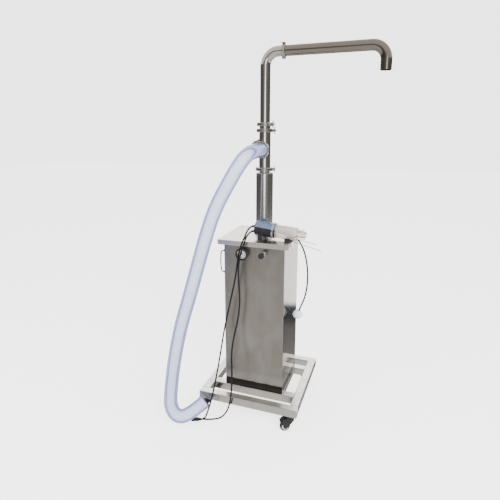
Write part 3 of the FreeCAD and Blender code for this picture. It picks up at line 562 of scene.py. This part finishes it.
def moulded(name, tint, worn, wear=0.3, smooth=0.3, rough=0.5, skin=900.0, metallic=0.0,
            coat=0.0, gloss=0.4):
    """Moulded plastic, rubber or paint."""
    def build():
        finish, board, shader, place = fresh_finish(name)
        board.fill(shader, {"Metallic": metallic, "Coat Weight": coat,
                            "Specular IOR Level": gloss})
        laid_on(board, shader, place, moulding_group(), {
            "Colour": rgba(tint), "Worn": rgba(worn), "Wear": wear, "Skin Scale": skin,
            "Smooth": smooth, "Rough": rough}, 0.12)
        return finish
    return once(name, build)


def see_through(name, tint, transmission, roughness, cloudiness):
    """Milky see-through plastic with faint clouds and drawing lines."""
    def build():
        finish, board, shader, place = fresh_finish(name)
        cloud = board.noise(place, 14.0, 3.0, 0.5)
        lines = board.noise(board.vector("MULTIPLY", place, (30, 30, 3)), 1.0, 2.0, 0.5)
        tone = board.mix(board.ramp(board.maths("ADD", cloud, lines), 0.7, 1.3), rgba(tint, 0.94),
                         rgba(tint))
        board.fill(shader, {
            "Base Color": tone, "Transmission Weight": transmission, "IOR": 1.42,
            "Roughness": board.ramp(cloud, 0.3, 0.7, roughness, roughness + cloudiness)})
        bumped(board, shader, lines, 0.05, 0.001)
        return finish
    return once(name, build)


def panel_steel():
    """Cabinet sheet: brushed front and back, polished sides, and a painted dark reflection band at
    the foot with a painted highlight strip above it.
    """
    def build():
        finish = steel("Brushed panel", colours().panel, (420, 420, 9), smooth=0.26, rough=0.40,
                       marks=0.45, contrast=0.88)
        board, shader, base = reopened(finish)
        place = board.node("TexCoord").outputs["Object"]
        split = board.node("SeparateXYZ")
        board.feed(split.inputs[0], place)
        across = board.maths("ABSOLUTE", split.outputs["X"])
        side = board.ramp(across, (CABINET_SIDE - 0.8) * MM, CABINET_SIDE * MM)
        rough = shader.inputs["Roughness"].links[0].from_socket
        board.feed(shader.inputs["Roughness"],
                   board.maths("MULTIPLY", rough, board.ramp(side, 0, 1, 1.0, 0.28)))
        stain = board.noise(board.vector("MULTIPLY", place, (11, 11, 5)), 1.0, 3.0, 0.55, 0.9)
        base = board.mix(board.ramp(stain, 0.35, 0.70, 0.0, 0.45), base,
                         rgba(colours().panel, 0.62))
        cool = board.noise(board.vector("MULTIPLY", place, (7, 7, 4)), 1.3, 2.0, 0.5, 0.5)
        base = board.mix(board.ramp(cool, 0.52, 0.72, 0.0, 0.5), base, (0.44, 0.45, 0.46, 1))
        # Painted reflection at the foot: the dark band stands for the dark gap under the cabinet
        # seen in the sheet, and the pale strip above it for the bright rail top.
        foot = FRAME_TOP * MM + sizes().painted_reflection_band
        ragged = board.maths("ADD", split.outputs["Z"],
                             board.ramp(board.noise(place, 30.0), 0.3, 0.7, -0.0012, 0.0012))
        # Painted highlight: a pale strip just above the band.
        painted_highlight_strip = board.maths("MULTIPLY", board.ramp(ragged, foot, foot + 0.004),
                           board.ramp(ragged, foot + 0.012, foot + 0.055, 1.0, 0.0))
        base = board.mix(board.maths("MULTIPLY", painted_highlight_strip, 0.42), base, (0.95, 0.92, 0.88, 1))
        # Painted reflection: below the foot line the sheet takes the band's dark colour.
        dark = board.maths("MULTIPLY", board.ramp(ragged, foot - 0.002, foot + 0.001, 1.0, 0.0),
                           0.93)
        board.feed(shader.inputs["Base Color"],
                   board.mix(dark, base, rgba(colours().painted_reflection_band)))
        return finish
    return bpy.data.materials.get("Brushed panel") or build()


def barrel_steel():
    return steel("Satin barrel", (0.60, 0.605, 0.585), (260, 260, 12), smooth=0.13, rough=0.19,
                 marks=0.1, contrast=0.88, grain=0.02)


def rail_steel(direction):
    stretch = {"x": (14, 700, 700), "y": (700, 14, 700)}[direction]
    return steel("Rail along " + direction, colours().rail, stretch, smooth=0.16, rough=0.34,
                 marks=0.7, contrast=0.66)


def lid_steel():
    return steel("Lid sheet", colours().lid, (10, 380, 380), smooth=0.24, rough=0.36,
                 marks=0.3, contrast=0.92, grain=0.05)


def tube_steel():
    return steel("Polished tube", colours().tube, (60, 60, 400), smooth=0.06, rough=0.14,
                 marks=0.2, contrast=0.9, grain=0.02)


def arm_steel():
    return steel("Polished arm tube", (0.27, 0.245, 0.215), (12, 300, 300), smooth=0.10,
                 rough=0.2, marks=0.3, contrast=0.86, grain=0.03)


def cast_steel():
    return steel("Clamp casting", (0.50, 0.48, 0.46), (500, 500, 500), smooth=0.22, rough=0.42,
                 marks=0.7, contrast=0.6, grain=0.2)


def machined_steel():
    return steel("Machined steel", (0.66, 0.66, 0.66), (120, 120, 900), smooth=0.14, rough=0.3,
                 marks=0.4, contrast=0.8, grain=0.08)


def black_moulding():
    return moulded("Black moulding", colours().shell, (0.06, 0.06, 0.06), smooth=0.28,
                   gloss=0.12)


def jacket_black():
    return moulded("Cable jacket", colours().jacket, (0.02, 0.02, 0.02), wear=0.05, smooth=0.45,
                   rough=0.55, skin=2500.0, gloss=0.1)


def caster_black():
    return moulded("Caster black", (0.008, 0.008, 0.009), (0.10, 0.095, 0.09), wear=0.35,
                   smooth=0.25, rough=0.45, skin=1400.0, gloss=0.15)


def hose_plastic():
    """Milky hose: the bore's edge shows through the wall as a darker line, a painted highlight runs
    down the middle, and painted shade darkens the sides and the rim, all set by viewing angle.
    """
    def build():
        finish = see_through("Hose plastic", colours().hose, 0.12, 0.20, 0.12)
        board, shader, base = reopened(finish)
        facing = board.node("LayerWeight")
        facing.inputs["Blend"].default_value = 0.5
        side = facing.outputs["Facing"]
        wall = board.maths("MULTIPLY", board.ramp(side, 0.27, 0.34),
                           board.ramp(side, 0.38, 0.46, 1.0, 0.0))
        # Painted shade along the rim, where the hose turns away from the eye.
        rim = board.ramp(side, 0.55, 0.85)
        shade = board.maths("MAXIMUM", board.maths("MULTIPLY", wall, 0.75), rim)
        # Painted highlight down the middle, painted shade toward the sides.
        base = board.mix(board.ramp(side, 0.04, 0.5), base, rgba(colours().hose_painted_shade))
        board.feed(shader.inputs["Base Color"],
                   board.mix(shade, base, rgba(colours().hose_painted_shade, 0.22)))
        return finish
    return bpy.data.materials.get("Hose plastic") or build()


# ---- the pieces ---------------------------------------------------------------------
class FILLER_OT_base(bpy.types.Operator):
    """Square tube frame with its weld beads"""
    bl_idname = "filler.base"
    bl_label = "Base Frame"

    def execute(self, context):
        for node in ("front_rail", "rear_rail", "front_cross_rail", "rear_cross_rail"):
            dressed(node, rail_steel("x"))
        for node in ("left_rail", "right_rail", "bearer_rails"):
            dressed(node, rail_steel("y"))
        radius = sizes().weld_bead / MM
        ripples = [(step * 1.5, radius * (0.8 + 0.2 * (step % 2))) for step in range(23)]
        bead = turned("weld_bead", [(0, radius * 0.3)] + [(r + 1, w) for r, w in ripples], sides=12)
        beads = []
        for rows in ((-RAIL_INSIDE, RAIL_INSIDE), CROSS_RAIL_FACES):
            for x in (-RAIL_INSIDE, RAIL_INSIDE):
                for y in rows:
                    beads.append(copied(bead, "weld_bead", aimed((x, y, BEAD_FOOT), UP)))
        bpy.data.objects.remove(bead)
        carried(joined("weld_beads", beads), "base", cast_steel(), "frame_steel")
        return {"FINISHED"}


class FILLER_OT_casters(bpy.types.Operator):
    """Four braked swivel casters"""
    bl_idname = "filler.casters"
    bl_label = "Casters"

    def execute(self, context):
        dressed("caster_stems", caster_black())
        tyre = turned("tyre", both_ways([(-9.4, 16.1), (-9.4, 21), (-8.6, 23.3), (-6, 24.7),
                                         (-2, WHEEL_R)]), hollow=True)
        hub = turned("hub", both_ways([(-10.9, 4.3), (-10.9, 8), (-8.4, 9), (-8, 13.4),
                                       (-9.8, 14.4), (-9.8, 16.6)]), hollow=True, rounded=True)
        rubber = moulded("Caster tyre", (0.010, 0.010, 0.011), (0.09, 0.085, 0.08), 0.5, 0.45, 0.7,
                         gloss=0.12)
        grey = moulded("Caster hub", (0.80, 0.80, 0.79), (0.45, 0.43, 0.41), 0.3, 0.35, 0.55)
        for corner, (x, y, turn) in CASTERS.items():
            trail = Matrix.Rotation(math.radians(turn), 4, "Z")
            wheel = (Matrix.Translation((x * MM, y * MM, WHEEL_R * MM)) @ trail
                     @ Matrix.Translation((TRAIL * MM, 0, 0)) @ Matrix.Rotation(math.pi / 2, 4, "X"))
            roll = "caster_%s_roll" % corner
            carried(copied(tyre, "tyre_" + corner, wheel), roll, rubber, "caster_wheel",
                    "caster_%s_wheel" % corner)
            carried(copied(hub, "hub_" + corner, wheel), roll, grey, "caster_wheel")
            dressed("caster_%s_fork" % corner, caster_black())
            dressed("caster_%s_brake" % corner, caster_black())
        for pattern in (tyre, hub):
            bpy.data.objects.remove(pattern)
        return {"FINISHED"}


class FILLER_OT_cabinet(bpy.types.Operator):
    """Cabinet, lid, lid screws and rear door"""
    bl_idname = "filler.cabinet"
    bl_label = "Cabinet"

    def execute(self, context):
        dressed("cabinet_shell", panel_steel())
        dressed("lid", lid_steel())
        dressed("lid_screws", machined_steel())
        dressed("rear_door", panel_steel())
        dressed("door_hinges", machined_steel())
        dressed("door_latch", black_moulding())
        return {"FINISHED"}


class FILLER_OT_gauge(bpy.types.Operator):
    """Pressure gauge with its dial, marks and glass"""
    bl_idname = "filler.gauge"
    bl_label = "Gauge"

    def execute(self, context):
        case = turned("gauge_case", [(0.1, 27), (0.1, 28.4), (21, 28.4), (22, 30), (25, 30),
                                     (26, 28.8), (26, 24.6), (24.6, 23), (15.4, 23)],
                      GAUGE_AT, FRONT, rounded=True)
        carried(case, "base", black_moulding(), "gauge_case", "gauge_body")
        dial = turned("gauge_dial", [(15.5, 22.8), (15.9, 22.8)], GAUGE_AT, FRONT)
        paper = moulded("Dial paper", (0.88, 0.88, 0.87), (0.72, 0.70, 0.66), 0.2, 0.4, 0.6)
        carried(dial, "base", paper, "gauge_case")
        mark = block("mark", (-0.4, -18.9, 0), (0.4, -15.4, 0.15), segments=1)
        marks = []
        face = aimed(Vector(GAUGE_AT) + FRONT * 15.9, FRONT)
        for step in range(28):      # a mark every 10 degrees, and every third one is wide
            turn = math.radians(-45 - 10 * step)
            size = Matrix.Scale(1 if step % 3 == 0 else 0.6, 4, (1, 0, 0))
            spot = face @ Matrix.Rotation(turn, 4, "Z") @ Matrix.Scale(1.12, 4, (0, 1, 0)) @ size
            marks.append(copied(mark, "mark", spot))
        bpy.data.objects.remove(mark)
        carried(joined("gauge_marks", marks), "base", black_moulding(), "gauge_case")
        dressed("gauge_pointer", black_moulding())
        glass = turned("gauge_glass", [(24.0, 22.9), (24.7, 23.1)], GAUGE_AT, FRONT, rounded=True)
        carried(glass, "base", see_through("Gauge glass", (0.97, 0.98, 0.98), 1.0, 0.02, 0.02),
                "gauge_case")
        return {"FINISHED"}


class FILLER_OT_regulator(bpy.types.Operator):
    """Speed regulator, its fluted knob and the air loop on the left side"""
    bl_idname = "filler.regulator"
    bl_label = "Regulator"

    def execute(self, context):
        dressed("regulator_body", machined_steel())
        dressed("regulator_knob", black_moulding())
        dressed("air_loop", jacket_black())
        return {"FINISHED"}


class FILLER_OT_column(bpy.types.Operator):
    """Pump column, swivelling arm and the working parts inside"""
    bl_idname = "filler.column"
    bl_label = "Pump Column"

    def execute(self, context):
        dressed("barrel", barrel_steel(), angle=40)
        for node in ("tee", "check_spool", "mast", "hose_adapter"):
            dressed(node, tube_steel(), angle=40)
        dressed("arm", arm_steel(), angle=40)
        for node in ("piston_rod", "piston", "tie_rods", "inlet_poppet", "outlet_poppet"):
            painted(node, machined_steel())
        painted("air_cylinder", steel("Drawn alloy", (0.62, 0.63, 0.65), (700, 700, 20), 0.3, 0.45))
        painted("piston_seals", moulded("Seal rubber", (0.02, 0.02, 0.02), (0.06, 0.06, 0.06)))
        return {"FINISHED"}


def wing_nut(bolt_at, hub):
    """A nut with two ears on a bolt along local Y."""
    body = turned("nut", [(8.1, hub * 0.92), (8.1, hub), (13, hub), (17.4, hub * 0.82),
                          (18.4, hub * 0.6)], (bolt_at, 0, 0), BACK, rounded=True, sides=32)
    ear = block("ear", (bolt_at - 1.5, 11, hub * 0.6), (bolt_at + 1.5, 17.5, hub + 3),
                rounded=False)
    for rise, reach, narrow in ((2.6, 4.2, 0.92), (2.4, 3.0, 0.72)):
        open_up(ear, lambda face: face.normal.z > 0.9)
        bpy.ops.mesh.extrude_region_move(
            TRANSFORM_OT_translate={"value": (0, rise * MM, reach * MM)})
        bpy.ops.transform.resize(value=(0.92, narrow, 1))
        close_up()
    soften(ear)
    spin = (Matrix.Translation((bolt_at * MM, 0, 0)) @ Matrix.Rotation(math.pi, 4, "Y")
            @ Matrix.Translation((-bolt_at * MM, 0, 0)))
    return [body, ear, copied(ear, "ear", spin)]


def hinged_clamp(name, ferrule, tube, rim, bolt_at, bolt, reach, hub):
    """Two half rings with lugs, hinge pin, swing bolt and wing nut about local Z."""
    lip, groove = tube + 0.8, ferrule + 0.3
    outside = both_ways([(-8, lip), (-8, rim - 2.4), (-7.4, rim - 1), (-6, rim)])
    inside = both_ways([(6.3, lip), (6.3, groove)])
    ring = turned("ring", outside + inside, hollow=True, rounded=True)
    open_up(ring)
    bpy.ops.mesh.bisect(plane_co=(0, 0.4 * MM, 0), plane_no=(0, 1, 0), clear_inner=True,
                        use_fill=True)
    close_up()
    lug = block("lug", (groove + 1.2, 0.4, -7), (bolt_at + bolt + 1.5, 8, 7))
    ear = block("hinge_ear", (-bolt_at + 1.0, 0.4, -6.4), (-groove - 0.8, 5.2, 6.4))
    over = Matrix.Rotation(math.pi, 4, "X")
    parts = [ring, lug, ear]
    parts += [copied(part, part.name, over) for part in (ring, lug, ear)]
    hinge = -max(rim + 1.0, groove + 4.2)
    parts.append(turned("hinge", both_ways([(-9.2, 2.6), (-8.6, 3.6)]), (hinge, 0, 0), sides=24))
    parts.append(turned("bolt", [(-12, bolt + 0.8), (-11.4, bolt + 1.8), (-8.1, bolt + 1.8),
                                 (-8.1, bolt), (reach - 1, bolt), (reach, bolt - 0.8)],
                        (bolt_at, 0, 0), BACK, sides=24))
    parts += wing_nut(bolt_at, hub)
    return joined(name, parts)


class FILLER_OT_clamps(bpy.types.Operator):
    """Hinged clamps with wing nuts"""
    bl_idname = "filler.clamps"
    bl_label = "Clamps"

    def execute(self, context):
        pattern = hinged_clamp("clamp", ferrule=32, tube=27, rim=38.5, bolt_at=45, bolt=3.5,
                               reach=26, hub=6.5)
        for node, (level, turn) in CLAMP_LEVELS.items():
            lug = Matrix.Rotation(math.radians(turn), 3, "Z") @ RIGHT
            clamp = copied(pattern, node + "_skin", seated((COLUMN_X, 0, level), lug, UP))
            carried(clamp, body_of(node), cast_steel(), "clamp_steel", node)
        lean = math.radians(118)
        spot = seated((COLUMN_X, BRANCH_Y, BRANCH_Z), (math.cos(lean), 0, math.sin(lean)), FRONT)
        clamp = copied(pattern, "clamp_branch_skin", spot)
        carried(clamp, "base", cast_steel(), "clamp_steel", "clamp_branch")
        bpy.data.objects.remove(pattern)
        small = hinged_clamp("clamp_arm_skin", ferrule=27, tube=23.5, rim=28.5, bolt_at=32,
                             bolt=2.0, reach=22, hub=3.5)
        stand(small, seated(ARM_CLAMP_AT, UP, RIGHT))
        carried(small, body_of("clamp_arm"), cast_steel(), "clamp_steel", "clamp_arm")
        return {"FINISHED"}


def sensor_matrix():
    """From the sensor's own line, which is local X, to its place on the lid."""
    tilt = math.radians(SENSOR_TILT)
    along = Vector((math.cos(tilt), 0, -math.sin(tilt)))
    return seated(SENSOR_AT, along, along.cross(BACK))


class FILLER_OT_sensor(bpy.types.Operator):
    """Level sensor with its guard, cradle and probe rods"""
    bl_idname = "filler.sensor"
    bl_label = "Level Sensor"

    def execute(self, context):
        lie = sensor_matrix()
        dressed("sensor_body", black_moulding())
        # Painted reflection: the top cover is coloured blue for the sky seen on the glossy black
        # sensor.
        blue = moulded("Blue painted sky reflection", colours().cover, (0.30, 0.34, 0.46), wear=0.35,
                       smooth=0.25, rough=0.4, skin=1600.0, metallic=0.65, coat=0.4)
        dressed("sensor_cover", blue)
        ring = turned("sensor_ring", [(83.4, 35.6), (83.4, 37.2), (84.4, 38.2), (91.6, 38.2),
                                      (92.6, 37.2), (92.6, 35.6)], along=RIGHT, rounded=True,
                      hollow=True)
        stand(ring, lie)
        carried(ring, "base", machined_steel(), "sensor_black")
        clear = see_through("Guard plastic", colours().clear, 0.80, 0.10, 0.16)
        dressed("sensor_guard", clear)
        probe = turned("sensor_probe", [(100.5, 17), (104, 17), (105, 11), (148, 11), (149, 14),
                                        (152, 14), (153, 11), (176, 11), (180, 8), (186, 8),
                                        (187, 5)], along=RIGHT, rounded=True)
        stand(probe, lie)
        carried(probe, "base", machined_steel(), "sensor_black")
        dressed("sensor_cradle", black_moulding())
        dressed("probe_rods", machined_steel(), rounded=False)
        screw = turned("screw", [(0, 2.6), (1.4, 2.6), (2.0, 1.9), (2.0, 1.3), (1.0, 1.2)],
                       sides=24)
        screws = []
        for turn in (30, 90, 150):
            out = Vector((0, math.cos(math.radians(turn)), math.sin(math.radians(turn))))
            spot = lie @ aimed(Vector((10, 0, 0)) + out * 34.8, out)
            screws.append(copied(screw, "screw", spot))
        bpy.data.objects.remove(screw)
        carried(joined("sensor_screws", screws), "base", machined_steel(), "sensor_black")
        return {"FINISHED"}


# ---- cords --------------------------------------------------------------------------
def line_through(name, route, radius, capped=True):
    """A smooth round cord whose control points are the route."""
    curve = bpy.data.curves.new(name, "CURVE")
    curve.dimensions = "3D"
    spline = curve.splines.new("NURBS")
    spline.points.add(len(route) - 1)
    for point, place in zip(spline.points, route):
        point.co = (place[0] * MM, place[1] * MM, place[2] * MM, 1)
    spline.order_u = 3
    spline.use_endpoint_u = True
    spline.resolution_u = 10
    curve.bevel_depth = radius
    curve.bevel_resolution = 6
    curve.use_fill_caps = capped
    return placed(name, curve)


def heading(route, end):
    """Direction in which a cord leaves its route at one end."""
    last, before = (route[-1], route[-2]) if end else (route[0], route[1])
    return (Vector(last) - Vector(before)).normalized()


def route_length(cord):
    """Length of the cord's own smooth line."""
    bare = cord.data.copy()
    bare.bevel_depth = 0
    bare.use_fill_caps = False
    holder = placed("measure", bare)
    bpy.context.view_layer.update()
    mesh = bpy.data.meshes.new_from_object(holder)
    places = [vertex.co for vertex in mesh.vertices]
    total = sum((b - a).length for a, b in zip(places, places[1:]))
    bpy.data.objects.remove(holder)
    bpy.data.meshes.remove(mesh)
    return total


class FILLER_OT_hose(bpy.types.Operator):
    """Clear suction hose from the pump's branch to the floor"""
    bl_idname = "filler.hose"
    bl_label = "Suction Hose"

    def execute(self, context):
        outer = sizes().hose_diameter / 2
        bore = sizes().hose_bore / 2 / MM
        hose = line_through("suction_hose", HOSE_ROUTE, outer, capped=False)
        carried(hose, "base", hose_plastic(), "hose_clear", "hose")
        out = heading(HOSE_ROUTE, True)
        lip = turned("hose_end", [(-14, bore), (-14, outer / MM + 0.2), (-0.5, outer / MM + 0.2),
                                  (1.2, outer / MM - 1.2), (1.2, bore + 1)],
                     HOSE_ROUTE[-1], out, hollow=True)
        carried(lip, "base", hose_plastic(), "hose_clear")
        # Painted shade: a dark disc across the open end stands for the shade inside the bore.
        bore_shade_disc = turned("hose_bore_shade_disc", [(0.1, bore - 0.2), (0.5, bore - 0.2)], HOSE_ROUTE[-1], out)
        dark = moulded("Hose bore shade", (0.20, 0.22, 0.28), (0.30, 0.31, 0.36), 0.2, 0.4, 0.6)
        carried(bore_shade_disc, "base", dark, "hose_clear")
        route_length(hose)
        return {"FINISHED"}


class FILLER_OT_cables(bpy.types.Operator):
    """Two sensor leads with their plug, and the hanging float"""
    bl_idname = "filler.cables"
    bl_label = "Cables And Float"

    def execute(self, context):
        radius = sizes().cable_diameter / 2
        black = jacket_black()
        plug = dressed("cable_plug", black_moulding())
        white = moulded("Float white", colours().float_white, (0.62, 0.64, 0.70), 0.3, 0.3, 0.5)
        ball = dressed("float_ball", white)
        runs = (("lead_a", "cable_a", CABLE_A_ROUTE, plug),
                ("lead_b", "cable_b", CABLE_B_ROUTE, plug),
                ("float_lead", "cable_float", FLOAT_CABLE_ROUTE, ball))
        for name, node, route, end in runs:
            lead = line_through(name, route, radius)
            carried(lead, "base", black, "cable_black", node)
            inward = heading(route, False)
            boot = turned(name + "_boot", [(-15, 4.2), (-15, 4.7), (-3, 5.8), (-1, 6.4),
                                           (1, 6.4), (1, 4.2)], route[0], inward, hollow=True)
            carried(boot, "base", black, "cable_black")
            route_length(lead)
        return {"FINISHED"}


# ---- stage --------------------------------------------------------------------------
def studio_world():
    """Pale to the camera; to everything else a bright rear ceiling and a dark room."""
    world = bpy.data.worlds.new("Studio")
    bpy.context.scene.world = world
    world.use_nodes = True
    tree = world.node_tree
    tree.nodes.clear()
    board = Board(tree)
    towards = board.node("TexCoord").outputs["Generated"]
    split = board.node("SeparateXYZ")
    board.feed(split.inputs[0], towards)
    rise = split.outputs["Z"]

    def grey(level, warm=0.0):
        return (level * (1 + warm), level, level * (1 - warm), 1)

    def blend(axis, low, high, near, far):
        return board.mix(board.ramp(axis, low, high), near, far)

    front = board.vector("DOT_PRODUCT", towards, (0.30, -0.954, 0))
    side = board.vector("DOT_PRODUCT", towards, (0.954, 0.30, 0))
    wall = blend(side, -0.4, 0.7, grey(0.13, 0.08), grey(0.16, 0.05))
    wall = blend(front, 0.60, 0.95, wall, grey(0.34, 0.04))
    wall = blend(front, 0.974, 0.988, wall, grey(3.6, 0.01))
    above = blend(front, -0.1, 0.7, grey(1.2, 0.04), grey(1.0, 0.05))
    ceiling = blend(front, -0.80, -0.60, grey(3.8, 0.02), above)
    low_front = blend(rise, -0.50, -0.30, grey(1.00, 0.03), grey(0.82, 0.06))
    beyond = blend(rise, -0.56, -0.43, grey(0.42, 0.03), grey(0.20, 0.05))
    beyond = blend(rise, -0.440, -0.420, beyond, grey(0.08, -0.10))
    beyond = blend(rise, -0.396, -0.386, beyond, grey(2.6, 0.04))
    away = board.vector("DOT_PRODUCT", towards, (0.33, 0.944, 0))
    low = blend(away, 0.45, 0.70, low_front, beyond)
    tone = blend(rise, -0.235, -0.215, low, wall)
    tone = blend(rise, 0.185, 0.215, tone, ceiling)
    rays = board.node("LightPath")
    tone = board.mix(rays.outputs["Is Diffuse Ray"], tone, grey(1.35))
    seen = board.mix(rays.outputs["Is Camera Ray"], tone, grey(3.4))
    back = board.node("Background")
    board.feed(back.inputs["Color"], seen)
    out = board.node("OutputWorld")
    board.feed(out.inputs["Surface"], back.outputs["Background"])


def soft_box(name, place, aim, width, power, tint=(1, 1, 1)):
    lamp = bpy.data.lights.new(name, "AREA")
    lamp.shape = "RECTANGLE"
    lamp.size, lamp.size_y = width
    lamp.energy = power
    lamp.color = tint
    holder = placed(name, lamp)
    holder.location = place
    holder.rotation_euler = (Vector(aim) - Vector(place)).to_track_quat("-Z", "Y").to_euler()
    holder.visible_glossy = False


class FILLER_OT_stage(bpy.types.Operator):
    """Pale floor, soft light and the camera"""
    bl_idname = "filler.stage"
    bl_label = "Stage"

    def execute(self, context):
        lay_down_tools()
        bpy.ops.mesh.primitive_plane_add(size=30)
        floor = context.object
        floor.name = "floor"
        finish, board, shader, _ = fresh_finish("Pale floor")
        camera_ray = board.node("LightPath").outputs["Is Camera Ray"]
        board.fill(shader, {
            "Base Color": (0.86, 0.86, 0.86, 1), "Roughness": 0.9,
            "Emission Color": (1, 1, 1, 1),
            "Emission Strength": board.maths("MULTIPLY", camera_ray, 2.4)})
        floor.data.materials.append(finish)
        floor.visible_glossy = False
        studio_world()
        soft_box("key", (2.2, -2.6, 2.6), (0, 0, 0.8), (1.6, 1.6), 210, (1, 0.97, 0.95))
        soft_box("fill", (-2.4, -2.0, 1.6), (0, 0, 0.8), (1.8, 1.8), 60)
        values = context.scene.filler_stage
        lens = bpy.data.cameras.new("Camera")
        lens.sensor_width = 36
        lens.lens = values.lens
        lens.shift_y = values.shift
        eye = placed("Camera", lens)
        eye.location = values.eye
        eye.rotation_euler = (math.pi / 2 - values.pitch, 0, values.yaw)
        context.scene.camera = eye
        return {"FINISHED"}


class FILLER_PT_panel(bpy.types.Panel):
    """Builds the filler piece by piece"""
    bl_idname = "FILLER_PT_panel"
    bl_label = "Liquid Filler"
    bl_space_type = "VIEW_3D"
    bl_region_type = "UI"
    bl_category = "Filler"

    def draw(self, context):
        layout = self.layout
        for group in (context.scene.filler_sizes, context.scene.filler_colours,
                      context.scene.filler_stage):
            column = layout.column()
            for name in group.__annotations__:
                column.prop(group, name)
        for piece in PIECES:
            layout.operator(piece.bl_idname)


PIECES = (FILLER_OT_stage, FILLER_OT_hose, FILLER_OT_cables, FILLER_OT_base, FILLER_OT_casters,
          FILLER_OT_cabinet, FILLER_OT_gauge, FILLER_OT_regulator, FILLER_OT_column,
          FILLER_OT_clamps, FILLER_OT_sensor)
CLASSES = (FillerSizes, FillerColours, FillerStage) + PIECES + (FILLER_PT_panel,)


def register():
    for entry in CLASSES:
        bpy.utils.register_class(entry)
    bpy.types.Scene.filler_sizes = PointerProperty(type=FillerSizes)
    bpy.types.Scene.filler_colours = PointerProperty(type=FillerColours)
    bpy.types.Scene.filler_stage = PointerProperty(type=FillerStage)


def unregister():
    del bpy.types.Scene.filler_stage
    del bpy.types.Scene.filler_colours
    del bpy.types.Scene.filler_sizes
    for entry in reversed(CLASSES):
        bpy.utils.unregister_class(entry)


def main():
    register()
    for piece in PIECES:
        family, action = piece.bl_idname.split(".")
        outcome = getattr(getattr(bpy.ops, family), action)()
        if outcome != {"FINISHED"}:
            raise RuntimeError(piece.bl_label + " did not finish")


if __name__ == "__main__":
    main()
